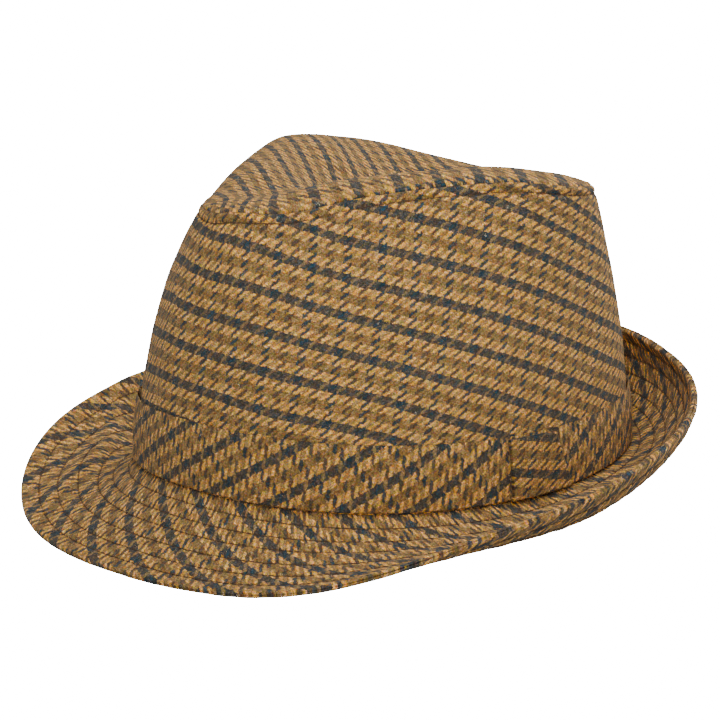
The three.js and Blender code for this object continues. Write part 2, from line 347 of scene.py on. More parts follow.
    def resting_brim(self, phi: np.ndarray, share: np.ndarray, depth: np.ndarray) -> np.ndarray:
        """Brim point after both layers are pushed up where the underside meets the floor.

        Both also rise to a soft crest at the wearer's right of the front, in a bell shape round the
        head and across the brim, whose crest bows outward at both ends.

        Args:
            phi: angles from the front, one for each section.
            share: 0 at the crown and 1 at the edge, one for each row.
            depth: distance under the upper face, one for each row.

        Returns:
            Points with a section for each angle and a row for each share.
        """
        normal = self.floor_normal()
        under = self.brim_point(phi, share, np.full(np.shape(share), CLOTH.brim)) @ normal
        lift = np.maximum(self.floor_level() - under, 0.0)
        turn = np.degrees((phi + math.pi) % TWO_PI - math.pi) - self.swell_at_deg
        crest = self.crest_share + self.crest_bow * turn[:, None] ** 2
        rise = np.exp(-((share[None, :] - crest) / self.crest_reach) ** 2)
        rise = rise * np.clip(share / self.crest_ease, 0.0, 1.0)
        lift = lift + self.swell * self.flare(phi)[:, None] * rise
        return self.brim_point(phi, share, depth) + lift[..., None] * normal

    def flare(self, phi: np.ndarray) -> np.ndarray:
        """Bell round the head where the foot of the crown flares into the brim, 1 at its middle."""
        turn = np.degrees((phi + math.pi) % TWO_PI - math.pi)
        return np.exp(-((turn - self.swell_at_deg) / self.swell_reach_deg) ** 2)

    def band_height(self, phi: np.ndarray) -> np.ndarray:
        """Level of the band's upper edge over the head oval."""
        return self.band_middle + self.band_front_rise * np.cos(phi)

    def off_wall(self, phi: np.ndarray, level: np.ndarray, distance: np.ndarray) -> np.ndarray:
        """Point at a level over the head oval and a distance outside the crown wall.

        Args:
            phi: angles from the front.
            level: heights over the head oval, in millimetres.
            distance: distances along the normal of the wall.

        Returns:
            Points in the head frame on a last axis.
        """
        rise = self.tip_point(phi, np.ones_like(phi))[..., 2] - self.foot(phi)[..., 2]
        share = level / rise
        normal = surface_normal(self.wall_point, phi, np.maximum(share, self.wall_foot))
        return self.wall_point(phi, share) + normal * np.asarray(distance)[..., None]


def surface_normal(surface: Surface, a: np.ndarray, b: np.ndarray,
                   side: float = 1.0) -> np.ndarray:
    """Unit normal of a surface of two numbers, from the cross product of its central differences.

    Args:
        surface: function of two arrays that gives points.
        a: first number of each point.
        b: second number of each point.
        side: 1 or -1, to choose the outward side.

    Returns:
        A unit vector for each point.
    """
    step = 1e-3
    across = surface(a + step, b) - surface(a - step, b)
    along = surface(a, b + step) - surface(a, b - step)
    normal = np.cross(across, along)
    return side * normal / np.linalg.norm(normal, axis=-1, keepdims=True)


def seam_run(surface: Surface, phi: np.ndarray) -> np.ndarray:
    """Length of a surface for a whole share, as its last fiftieth before the seam has it.

    Args:
        surface: function of an angle and a share that is 1 at the seam.
        phi: angles from the front.

    Returns:
        A length for each angle, in millimetres.
    """
    last = 0.02
    ones = np.ones_like(phi)
    step = surface(phi, ones) - surface(phi, (1.0 - last) * ones)
    return np.linalg.norm(step, axis=1) / last


FORM = HatForm()


class Placement:
    """Turns millimetres of the head frame into metres of the resting hat."""

    def __init__(self, form: HatForm) -> None:
        """Tips the form back and shifts it onto the floor and to the back of the CAD crown.

        Args:
            form: shape of the hat in the head frame.
        """
        tip = math.radians(-form.rest_tip_deg)
        self.turn = np.array(Matrix.Rotation(tip, 3, "X"))
        rows = np.linspace(0.0, 1.0, 60)
        back = form.wall_point(np.full(60, math.pi), rows) @ self.turn.T
        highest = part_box("crown_side")[1]
        self.shift = np.array([0.0, highest.y / MM - back[:, 1].max(), -form.floor_level()])

    def world(self, points: np.ndarray) -> np.ndarray:
        """World positions in metres of points in the head frame."""
        return (points @ self.turn.T + self.shift) * MM

    def over_floor(self, points: np.ndarray) -> np.ndarray:
        """World positions of points in the head frame, pressed flat where they pierce the floor."""
        placed = self.world(points.reshape(-1, 3))
        placed[:, 2] = np.maximum(placed[:, 2], 0.0)
        return placed

    def direction(self, vector: np.ndarray) -> Vector:
        """World direction of a direction in the head frame."""
        return Vector(self.turn @ np.asarray(vector, dtype=float))


PLACE = Placement(FORM)


class Ripple:
    """Smooth irregularity of a closed surface: a sum of waves that close round the head."""

    def __init__(self, seed: int, waves: int, around: int, along: float) -> None:
        """Draws the waves.

        Args:
            seed: keeps one irregularity apart from the next.
            waves: number of waves.
            around: most turns of a wave round the head.
            along: most radians of a wave per millimetre across it.
        """
        rng = np.random.default_rng(SEED + seed)
        self.around = rng.integers(1, around + 1, waves) * rng.choice([-1, 1], waves)
        self.along = rng.uniform(-along, along, waves)
        self.phase = rng.uniform(0.0, TWO_PI, waves)
        self.weight = rng.uniform(0.4, 1.0, waves)
        self.weight /= np.sqrt((self.weight ** 2).sum() / 2.0)

    def __call__(self, phi: np.ndarray, distance: np.ndarray) -> np.ndarray:
        """Irregularity of about unit size: weighted sines of the turn and the distance.

        Args:
            phi: angles round the head.
            distance: millimetres across the wave, of the same shape.

        Returns:
            A value for each pair.
        """
        angle = (self.around * phi[..., None] + self.along * distance[..., None] + self.phase)
        return (np.sin(angle) * self.weight).sum(axis=-1)


@dataclass
class Shell:
    """Closed wall that is carried round the head as a section, with its cloth coordinates.

    Attributes:
        name: name of the piece.
        points: sections by rows of the section, in millimetres of the head frame.
        cloth: the same with one more section, which repeats the first after a full turn.
        seam: distance to the nearest seam, fold or row of stitches, shaped as the cloth coordinates;
            the material paints shade near it.
        slot: material slot of the record.
        replaces: CAD node that the piece stands for.
    """

    name: str
    points: np.ndarray
    cloth: np.ndarray
    seam: np.ndarray
    slot: Slot
    replaces: str

    def build(self, material: bpy.types.Material) -> bpy.types.Object:
        """Joins neighbouring rows of neighbouring sections and closes the ring both ways.

        Rows that shrink to one point become a pole with triangles round it.

        Args:
            material: finish of the cloth.

        Returns:
            The new object, riding on the body of the hat.
        """
        turns, rows = self.points.shape[:2]
        index = np.arange(turns * rows).reshape(turns, rows)
        shrunk = np.ptp(self.points, axis=0).max(axis=-1) < 1e-6
        index[:, shrunk] = index[:1, shrunk]
        i = np.arange(turns)[:, None]
        j = np.arange(rows)[None, :]
        after, above = (i + 1) % turns, (j + 1) % rows
        corners = np.stack([index[i, j], index[after, j], index[after, above], index[i, above]], -1)
        places = np.stack([np.broadcast_to(p, (turns, rows)) for p in
                           (i * rows + j, (i + 1) * rows + j, (i + 1) * rows + above,
                            i * rows + above)], axis=-1)
        corners, places = corners.reshape(-1, 4), places.reshape(-1, 4)
        low = corners[:, 0] == corners[:, 1]
        high = corners[:, 2] == corners[:, 3]
        keep_low, keep_high = high & ~low, low & ~high
        quads = ~low & ~high
        faces = [(corners[quads], places[quads]),
                 (corners[keep_low][:, :3], places[keep_low][:, :3]),
                 (corners[keep_high][:, 1:], places[keep_high][:, 1:])]
        cloth = self.cloth.reshape(-1, 2)
        obj = mesh_object(self.name, PLACE.world(self.points.reshape(-1, 3)), faces, cloth,
                          self.seam.reshape(-1))
        dress(obj, material, self.slot)
        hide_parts(self.replaces)
        return obj


def mesh_object(name: str, vertices: np.ndarray, faces: list, cloth: np.ndarray | None = None,
                seam: np.ndarray | None = None, smooth: bool = True) -> bpy.types.Object:
    """Writes arrays straight into a mesh and drops the vertices that no face uses.

    Args:
        name: name of mesh and object.
        vertices: positions in metres.
        faces: pairs of corner indices and cloth rows, each pair with one corner count.
        cloth: cloth coordinates in millimetres that the cloth rows point into.
        seam: distances to the nearest seam that they point into as well, which set the painted shade.
        smooth: whether the faces are shaded smooth.

    Returns:
        The new object, linked to the scene.
    """
    corners = np.concatenate([c.reshape(-1) for c, _ in faces]).astype(np.int64)
    sizes = np.concatenate([np.full(len(c), c.shape[1]) for c, _ in faces if len(c)])
    used, compact = np.unique(corners, return_inverse=True)
    mesh = bpy.data.meshes.new(name)
    mesh.vertices.add(len(used))
    mesh.vertices.foreach_set("co", vertices[used].astype(np.float32).ravel())
    mesh.loops.add(len(corners))
    mesh.loops.foreach_set("vertex_index", compact.astype(np.int32).ravel())
    mesh.polygons.add(len(sizes))
    mesh.polygons.foreach_set("loop_start", (np.cumsum(sizes) - sizes).astype(np.int32))
    mesh.polygons.foreach_set("use_smooth", np.full(len(sizes), smooth))
    if cloth is not None:
        places = np.concatenate([p.reshape(-1) for _, p in faces]).astype(np.int64)
        layer = mesh.uv_layers.new(name="cloth")
        layer.data.foreach_set("uv", cloth[places].astype(np.float32).ravel())
        # Distance to the nearest seam, which sets the painted shade of the material.
        layer = mesh.uv_layers.new(name="seam")
        pairs = np.stack([seam[places], np.zeros(len(places))], axis=-1)
        layer.data.foreach_set("uv", pairs.astype(np.float32).ravel())
    mesh.update(calc_edges=True)
    mesh.validate()
    obj = bpy.data.objects.new(name, mesh)
    bpy.context.scene.collection.objects.link(obj)
    return obj


def dress(obj: bpy.types.Object, material: bpy.types.Material, slot: Slot) -> None:
    """Gives a piece its material and lets it ride on the hat."""
    obj.data.materials.append(material)
    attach(obj, "root")


def sections(count: int) -> np.ndarray:
    """Angles of the sections round the head, the first one not repeated."""
    return np.linspace(0.0, TWO_PI, count, endpoint=False)


def closed(values: np.ndarray, last: np.ndarray) -> np.ndarray:
    """Adds the section that ends a full turn."""
    return np.concatenate([values, last[None]], axis=0)


@dataclass(frozen=True)
class Lay:
    """How the check lies on a piece: cloth coordinates as a linear map of the piece's own.

    Attributes:
        warp: shares of the ways along and up, and start, of the coordinate across the warp.
        weft: the same for the coordinate across the weft.
    """

    warp: tuple[float, float, float]
    weft: tuple[float, float, float]

    def __call__(self, along: np.ndarray, up: np.ndarray) -> np.ndarray:
        """Cloth coordinates of places on the piece.

        Args:
            along: millimetres along the piece.
            up: millimetres up the piece.

        Returns:
            The two coordinates in the last axis.
        """
        return np.stack([a * along + b * up + c for a, b, c in (self.warp, self.weft)], axis=-1)


def dip(distance: np.ndarray, depth: float, reach: float) -> np.ndarray:
    """Inward fall of cloth toward a seam: depth at the seam, easing to nothing at the reach."""
    return -depth * np.clip(1.0 - distance / reach, 0.0, 1.0) ** 2


def groove(distance: np.ndarray, depth: float, reach: float) -> np.ndarray:
    """Inward bell-shaped furrow under a row of stitches."""
    return -depth * np.exp(-(distance / reach) ** 2)


FINE_TURN = np.linspace(-math.pi, math.pi, 2881)
SEAM_CROWDING = 1.5


def arc_along(line: np.ndarray, turns: np.ndarray) -> np.ndarray:
    """Distance along a closed line from centre front, signed.

    Args:
        line: points of the line at the fine turn.
        turns: angles from -180 to 180 degrees, in radians.

    Returns:
        The summed steps of the line up to each angle.
    """
    steps = np.linalg.norm(np.diff(line, axis=0), axis=1)
    arc = np.concatenate([[0.0], np.cumsum(steps)])
    return np.interp(turns, FINE_TURN, arc - arc[len(arc) // 2])


def arc_along_head(turns: np.ndarray) -> np.ndarray:
    """Signed distance along the head oval from centre front, for angles from -180 to 180 degrees."""
    return arc_along(FORM.foot(FINE_TURN), turns)


@dataclass(frozen=True)
class WallLay:
    """How the check lies on the wall of the crown, whose cloth is stretched over the block.

    The rows of the check hang level a little to the wearer's right of centre front and fall away
    from there to both sides, steeper toward the back.

    Attributes:
        level_at: distance round the head from centre front where the rows are level.
        middle: height up the wall at which the path round it is measured.
        shear: lean of the warp where the rows are level, and its growth per millimetre.
        height: height of the wall over which the warp leans.
        start: cloth coordinates that are added at the end.
        reach: distance round the head past which the rows rise no further.
        steps: steps of the summed rise.
    """

    level_at: float = -25.0
    middle: float = 0.6
    shear: tuple[float, float] = (0.12, 0.0026)
    height: float = 115.0
    start: tuple[float, float] = (-4.84, -4.73)
    reach: float = 330.0
    steps: int = 1420

    def __call__(self, phi: np.ndarray, share: np.ndarray) -> np.ndarray:
        """Cloth coordinates of places on the wall.

        Across the warp: the path round the wall at its middle height, less a shear that grows
        toward the back. Across the weft: the height times the stretched length of the cloth, plus
        the summed rise of the rows.

        Args:
            phi: angles from the front, from -180 to 180 degrees.
            share: heights up the wall.

        Returns:
            The two coordinates in the last axis.
        """
        length_at = np.array([self.level_at, 45.0, 85.0, 140.0, 200.0])
        length = np.array([100.0, 101.0, 112.0, 105.0, 98.0])
        rise_at = np.array([self.level_at, 40.0, 55.0, 75.0, 120.0, 160.0, 200.0, 296.0])
        rise = np.array([0.03, 0.13, 0.20, 0.34, 0.315, 0.36, 0.36, 0.42])
        arc = arc_along_head(phi)
        right = arc < self.level_at
        away = np.where(right, 2.0 * self.level_at - arc, arc)
        line = FORM.wall_point(FINE_TURN, np.full(len(FINE_TURN), self.middle))
        path = arc_along(line, FINE_TURN)
        foot_arc = arc_along_head(FINE_TURN)
        above = share - self.middle
        sheared = (self.shear[0] + self.shear[1] * away) * self.height * above
        across = np.interp(away, foot_arc, path) - sheared
        across = np.where(right, 2.0 * np.interp(self.level_at, foot_arc, path) - across, across)
        fine = np.linspace(self.level_at, self.reach, self.steps + 1)
        slope = np.interp((fine[1:] + fine[:-1]) / 2.0, rise_at, rise)
        risen = np.concatenate([[0.0], np.cumsum(slope * np.diff(fine))])
        up = np.interp(away, length_at, length) * above + np.interp(away, fine, risen)
        return np.stack([across + self.start[0], up + self.start[1]], axis=-1)


@dataclass(frozen=True)
class TipLay:
    """How the check lies on the top, whose cloth is drawn closer on one side of the crease.

    Attributes:
        right: lay of the slope on the wearer's right.
        left: lay of the strip on the wearer's left.
        right_from: how far right of the crease the change begins, at its front and at most.
        right_slope: how fast that grows toward the back.
        left_to: how far left of the crease it ends, at its front and at most.
        left_slope: how fast that grows toward the back.
        front: place of the front end of the crease.
    """

    right: Lay = Lay((0.95, -0.28, -5.65), (0.51, 1.12, 3.61))
    left: Lay = Lay((0.78, -0.50, -9.75), (0.41, 0.72, -11.82))
    right_from: tuple[float, float] = (4.0, 26.0)
    right_slope: float = 0.33
    left_to: tuple[float, float] = (18.0, 30.0)
    left_slope: float = 0.2
    front: float = -60.0

    def __call__(self, across: np.ndarray, y: np.ndarray) -> np.ndarray:
        """Cloth coordinates: one lay eases into the other over the foot of the crease.

        Args:
            across: signed path over the crease from the middle line.
            y: place along the crease.

        Returns:
            The two coordinates in the last axis.
        """
        begin = -np.clip(self.right_from[0] + self.right_slope * (y - self.front), *self.right_from)
        end = np.clip(self.left_to[0] + self.left_slope * (y - self.front), *self.left_to)
        share = np.clip((across - begin) / (end - begin), 0.0, 1.0)
        eased = (share * share * (3.0 - 2.0 * share))[..., None]
        return self.right(across, y) * (1.0 - eased) + self.left(across, y) * eased


@dataclass
class CrownWall:
    """Wall of the crown, from the head oval to the seam of the tip.

    Attributes:
        turns: sections round the head.
        rows: rows of the outer face.
        seam_rows: those of them that crowd toward the seam.
        seam_part: share of the height that these take.
        inner_rows: rows of the inner face.
        ends: first and last height, just clear of brim and tip.
        stitch_below: distance of the topstitch under the seam, in millimetres.
        furrow: depth and reach of its furrow.
        tuck: depth and reach of the fall toward the seam.
        uneven: height of the wide and of the small irregularities.
        even_below: distance under the seam at which they are full.
        even_above: height over the foot at which they are.
        lay: how the check lies.
    """

    turns: int = 640
    rows: int = 72
    seam_rows: int = 24
    seam_part: float = 0.1
    inner_rows: int = 12
    ends: tuple[float, float] = (0.0013, 0.9987)
    stitch_below: float = 4.3
    furrow: tuple[float, float] = (0.72, 0.8)
    tuck: tuple[float, float] = (1.0, 1.7)
    uneven: tuple[float, float] = (0.32, 0.07)
    even_below: float = 14.0
    even_above: float = 0.25
    lay: WallLay = WallLay()

    def inner_seam(self, phi: np.ndarray) -> np.ndarray:
        """Mitre under the tip seam, where the inner faces of wall and tip meet.

        Args:
            phi: angles from the front.

        Returns:
            Points in the head frame, one for each angle.
        """
        ones = np.ones_like(phi)
        wall = surface_normal(FORM.wall_point, phi, ones)
        tip = surface_normal(FORM.tip_point, phi, ones, -1.0)
        cosine = (wall * tip).sum(axis=-1, keepdims=True)
        return FORM.tip_point(phi, ones) - (wall + tip) * CLOTH.wall / (1.0 + cosine)

    def inner_foot(self, phi: np.ndarray) -> np.ndarray:
        """Where the inner face of the wall meets the underside of the brim.

        Args:
            phi: angles from the front.

        Returns:
            Points in the head frame, one for each angle.
        """
        slope = np.radians(FORM.brim_values(phi)[0])
        rise = (-CLOTH.brim - CLOTH.wall * np.sin(slope)) / np.cos(slope)
        point = FORM.foot(phi) - FORM.outward(phi) * CLOTH.wall
        point[:, 2] += rise
        return point

    def build(self, material: bpy.types.Material) -> bpy.types.Object:
        """Raises the wall, with a topstitched furrow under its seam and a little unevenness.

        Args:
            material: finish of the cloth.

        Returns:
            The new object.
        """
        phi = sections(self.turns) - math.pi
        low = np.linspace(0.0, 1.0 - self.seam_part, self.rows - self.seam_rows, endpoint=False)
        high = 1.0 - self.seam_part * np.linspace(1.0, 0.0, self.seam_rows) ** SEAM_CROWDING
        heights = np.concatenate([low, high])
        heights[[0, -1]] = self.ends
        grid_phi, grid_h = np.meshgrid(phi, heights, indexing="ij")
        points = FORM.wall_point(grid_phi, grid_h)
        normal = surface_normal(FORM.wall_point, grid_phi, grid_h)
        reach = seam_run(FORM.wall_point, phi)
        below = (1.0 - grid_h) * reach[:, None]
        wide, small = self.uneven
        lift = (wide * Ripple(1, 26, 13, 0.075)(grid_phi, below)
                + small * Ripple(2, 30, 42, 0.25)(grid_phi, below))
        lift *= np.clip(below / self.even_below, 0.0, 1.0)
        lift *= np.clip(grid_h / self.even_above, 0.0, 1.0)
        lift += groove(below - self.stitch_below, *self.furrow) + dip(below, *self.tuck)
        outer = points + normal * lift[..., None]
        inner_h = np.linspace(1.0, 0.0, self.inner_rows)[1:-1]
        inner_phi, inner_grid = np.meshgrid(phi, inner_h, indexing="ij")
        inner = FORM.wall_point(inner_phi, inner_grid) - CLOTH.wall * surface_normal(
            FORM.wall_point, inner_phi, inner_grid)
        section = np.concatenate([outer, self.inner_seam(phi)[:, None], inner,
                                  self.inner_foot(phi)[:, None]], axis=1)
        inner_up = np.concatenate([[1.0], inner_h, [0.0]])
        up = np.concatenate([heights, inner_up])
        cloth = self.lay(*np.meshgrid(np.append(phi, math.pi), up, indexing="ij"))
        # Distance to the tip seam and to the topstitch, near which the material paints shade in the
        # furrows.
        far = (1.0 - closed(np.broadcast_to(up, section.shape[:2]), up)) * np.append(
            reach, reach[0])[:, None]
        seam = np.minimum(np.abs(far), np.abs(far - self.stitch_below))
        return Shell("crown_wall", section, cloth, seam, Slot.TWEED, "crown_side").build(material)


@dataclass
class CrownTip:
    """Teardrop top with its front-to-back crease, closed over the middle.

    Attributes:
        turns: sections round the top.
        rows: rows of the outer face.
        seam_rows: those of them that crowd toward the seam.
        seam_part: share of the way that these take.
        inner_rows: rows of the inner face.
        begin: share of the first row, just clear of the wall.
        pole: share under which the way out of the cloth is straight up.
        tuck: depth and reach of the fall toward the seam, in millimetres.
        uneven: height of the irregularities.
        even_inside: distance from the seam at which they are full.
        even_from: share of the way from the middle at which they are.
        lay: how the check lies.
    """

    turns: int = 640
    rows: int = 64
    seam_rows: int = 22
    seam_part: float = 0.12
    inner_rows: int = 12
    begin: float = 0.998
    pole: float = 0.03
    tuck: tuple[float, float] = (1.1, 2.0)
    uneven: float = 0.3
    even_inside: float = 12.0
    even_from: float = 0.35
    lay: TipLay = TipLay()

    def way_out(self, phi: np.ndarray, share: np.ndarray) -> np.ndarray:
        """Outward normals of the top, which point straight up round its middle."""
        normal = surface_normal(FORM.tip_point, phi, np.maximum(share, 0.02), -1.0)
        normal[share < self.pole] = np.array([0.0, 0.0, 1.0])
        return normal

    def build(self, material: bpy.types.Material) -> bpy.types.Object:
        """Lays the cloth over the crease.

        Across the warp the coordinate is the path over the crease, along it the length of the hat.

        Args:
            material: finish of the cloth.

        Returns:
            The new object.
        """
        phi = sections(self.turns) - math.pi
        edge = 1.0 - self.seam_part * np.linspace(0.0, 1.0, self.seam_rows) ** SEAM_CROWDING
        middle = np.linspace(1.0 - self.seam_part, 0.0, self.rows - self.seam_rows + 1)[1:]
        shares = np.concatenate([edge, middle])
        shares[0] = self.begin
        grid_phi, grid_s = np.meshgrid(phi, shares, indexing="ij")
        reach = seam_run(FORM.tip_point, phi)
        inside = (1.0 - grid_s) * reach[:, None]
        fade = (np.clip(inside / self.even_inside, 0.0, 1.0)
                * np.clip(grid_s / self.even_from, 0.0, 1.0))
        lift = self.uneven * fade * Ripple(3, 24, 9, 0.11)(grid_phi, inside)
        lift += dip(inside, *self.tuck)
        outer = FORM.tip_point(grid_phi, grid_s) + self.way_out(grid_phi, grid_s) * lift[..., None]
        inner_s = np.linspace(1.0, 0.0, self.inner_rows)[1:]
        inner_phi, inner_grid = np.meshgrid(phi, inner_s, indexing="ij")
        inner = (FORM.tip_point(inner_phi, inner_grid)
                 - CLOTH.wall * self.way_out(inner_phi, inner_grid))
        seam = CrownWall().inner_seam(phi)[:, None]
        section = np.concatenate([outer, np.concatenate([seam, inner], axis=1)[:, ::-1]], axis=1)
        section = closed(section, section[0])
        cloth = self.lay(self.across(section[..., 0], section[..., 1]), section[..., 1])
        shares = np.concatenate([shares, inner_s[::-1], [1.0]])
        # Distance to the seam, near which the material paints shade.
        far = (1.0 - shares)[None, :] * np.append(reach, reach[0])[:, None]
        return Shell("crown_top", section[:-1], cloth, far, Slot.TWEED, "crown_tip").build(material)

    def across(self, x: np.ndarray, y: np.ndarray) -> np.ndarray:
        """Path over the crease from the middle line: the summed root of level and height steps.

        Args:
            x: distances to the wearer's left of the middle.
            y: distances behind the centre of the oval.

        Returns:
            Signed lengths of the shape of x.
        """
        steps = 24
        share = np.linspace(0.0, 1.0, steps + 1)
        line = x[..., None] * share
        height = FORM.crease_height(line, np.broadcast_to(y[..., None], line.shape))
        run = np.hypot(np.diff(line, axis=-1), np.diff(height, axis=-1))
        return np.sign(x) * run.sum(axis=-1)


@dataclass
class Band:
    """Strip of the same cloth, cut on the bias and folded double, round the foot of the wall.

    Attributes:
        turns: sections round the head.
        face_rows: rows of the outer face.
        round_rows: rows of each rounded fold.
        inner_rows: rows of the inner face.
        lift: height of the lower fold over the head oval, in millimetres.
        taper: how far the upper fold is drawn toward the wall.
        slack: how far it stands off again, and the unevenness of that.
        uneven: height of the irregularities.
        foot_spread: how far the lower fold spreads where the brim flares.
        lay: how the check lies.
    """

    turns: int = 640
    face_rows: int = 26
    round_rows: int = 6
    inner_rows: int = 6
    lift: float = 0.9
    taper: float = 1.0
    slack: tuple[float, float] = (0.08, 0.6)
    uneven: float = 0.10
    foot_spread: float = 2.4
    lay: Lay = Lay((0.6652, 0.6264, -3.14), (-0.5037, 0.8654, -7.83))

    def build(self, material: bpy.types.Material) -> bpy.types.Object:
        """Carries a strip with two rounded folds round the wall.

        The folds are quarter circles at both ends of a straight face. Toward the top the strip
        leans to the wall with the fifth power of the height, and where the brim flares it spreads
        with the square of the depth.

        Args:
            material: finish of the cloth.

        Returns:
            The new object.
        """
        phi = sections(self.turns) - math.pi
        radius = CLOTH.band / 2.0
        quarter = np.linspace(0.0, math.pi / 2.0, self.round_rows)
        flat = self.face_rows - 2
        rise = np.concatenate([radius * (1.0 - np.cos(quarter)),
                               np.linspace(0.0, 1.0, self.face_rows)[1:-1],
                               radius * (np.sin(quarter) - 1.0)])
        part = np.repeat([0, 1, 2], [self.round_rows, flat, self.round_rows])
        proud = np.concatenate([radius * np.sin(quarter), np.full(flat, radius),
                                radius * np.cos(quarter)])
        top = FORM.band_height(phi)[:, None]
        low, high = self.lift + radius, top - radius
        face = low + (high - low) * rise
        level = np.where(part == 0, self.lift + rise, np.where(part == 2, top + rise, face))
        down = np.linspace(0.9, 0.1, self.inner_rows)
        level = np.concatenate([level, self.lift + (top - self.lift) * down], axis=1)
        grid_phi = np.broadcast_to(phi[:, None], level.shape)
        offset = np.concatenate([CLOTH.clearance + radius + proud,
                                 np.full(self.inner_rows, CLOTH.clearance)])
        height = level / top
        stands, waves = self.slack
        lean = (stands * (1.0 + Ripple(4, 14, 7, 0.0)(grid_phi, level) * waves)
                - self.taper) * height ** 5
        lean += self.uneven * Ripple(5, 26, 60, 0.5)(grid_phi, level)
        outer = np.concatenate([proud, np.zeros(self.inner_rows)]) / radius
        spread = self.foot_spread * FORM.flare(phi)[:, None] * np.clip(1.0 - height, 0.0, 1.0) ** 2
        distance = np.maximum(offset + lean * outer + spread, CLOTH.clearance)
        points = FORM.off_wall(grid_phi, level, distance)
        arc = arc_along_head(np.append(phi, math.pi))[:, None]
        up = closed(level, level[0])
        cloth = self.lay(np.broadcast_to(arc, up.shape), up)
        # Distance to the two folds, near which the material paints shade.
        border = np.minimum(up - self.lift + 0.3, closed(top, top[0]) - up) + 0.3
        return Shell("band_strip", points, cloth, border, Slot.BIAS, "band").build(material)


@dataclass
class BandTab:
    """Small folded tab over the join of the band, at the wearer's left.

    Attributes:
        columns: points round the head, crowded toward both borders.
        rows: points up the tab, crowded in the same way.
        front_deg: turn of the front border.
        rear_top_deg: turn of the rear border at its top.
        rear_foot_deg: turn of the rear border at its foot.
        below_top: distance of the upper border under that of the band, in millimetres.
        lift: height of the lower border over the head oval.
        rounded: radius of the borders, as a share of the thickness.
        swell: height of the wave over the flat of the tab.
        lay: how the check lies.
    """

    columns: int = 64
    rows: int = 72
    front_deg: float = 80.0
    rear_top_deg: float = 95.0
    rear_foot_deg: float = 100.0
    below_top: float = 0.8
    lift: float = 0.9
    rounded: float = 0.55
    swell: float = 0.12
    lay: Lay = Lay((0.981, -0.349, 2.0), (0.218, 0.945, 1.7))

    def build(self, material: bpy.types.Material) -> bpy.types.Object:
        """Bends a plate with rounded borders round the band.

        Each face is a grid whose distance from the band falls in a quarter circle near the borders.

        Args:
            material: finish of the cloth.

        Returns:
            The new object.
        """
        across = 0.5 - 0.5 * np.cos(np.linspace(0.0, math.pi, self.columns))
        upward = 0.5 - 0.5 * np.cos(np.linspace(0.0, math.pi, self.rows))
        grid_c, grid_r = np.meshgrid(across, upward, indexing="ij")
        rear = self.rear_foot_deg + (self.rear_top_deg - self.rear_foot_deg) * grid_r
        phi = np.radians(self.front_deg + (rear - self.front_deg) * grid_c)
        top = FORM.band_height(phi) - self.below_top
        level = self.lift + (top - self.lift) * grid_r
        arc = arc_along_head(phi)
        width = arc[-1] - arc[0]
        border = np.minimum(np.minimum(grid_c, 1.0 - grid_c) * width[None, :],
                            np.minimum(grid_r, 1.0 - grid_r) * (top - self.lift))
        radius = CLOTH.tab * self.rounded
        fall = 1.0 - np.sqrt(1.0 - np.clip(1.0 - border / radius, 0.0, 1.0) ** 2)
        back = CLOTH.clearance + CLOTH.band + CLOTH.clearance
        swell = self.swell * np.sin(grid_c * 5.0 + grid_r * 2.0)
        outer = FORM.off_wall(phi, level, back + CLOTH.tab - radius * fall + swell * (fall < 0.5))
        inner = FORM.off_wall(phi, level, np.full(phi.shape, back))
        count = self.columns * self.rows
        index = np.arange(count).reshape(self.columns, self.rows)
        quads = np.stack([index[:-1, :-1], index[1:, :-1], index[1:, 1:], index[:-1, 1:]], -1)
        quads = quads.reshape(-1, 4)
        rim = np.concatenate([index[:, 0], index[-1, 1:], index[-2::-1, -1], index[0, -2:0:-1]])
        ahead = np.roll(rim, -1)
        sides = np.stack([rim + count, ahead + count, ahead, rim], axis=-1)
        corners = np.concatenate([quads, quads[:, ::-1] + count, sides])
        cloth = np.tile(self.lay(arc, level).reshape(-1, 2), (2, 1))
        # Distance to the borders on the outer face, near which the material paints shade; the hidden
        # inner face has none and is darkened all over.
        seam = np.concatenate([border.reshape(-1), np.zeros(count)])
        points = np.concatenate([outer.reshape(-1, 3), inner.reshape(-1, 3)])
        obj = mesh_object("band_loop", PLACE.world(points), [(corners, corners)], cloth, seam)
        dress(obj, material, Slot.TAB)
        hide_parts("band_tab")
        return obj


class BrimFace(Enum):
    """The two cloth layers of the brim."""

    UPPER = "brim_upper"
    UNDER = "brim_under"


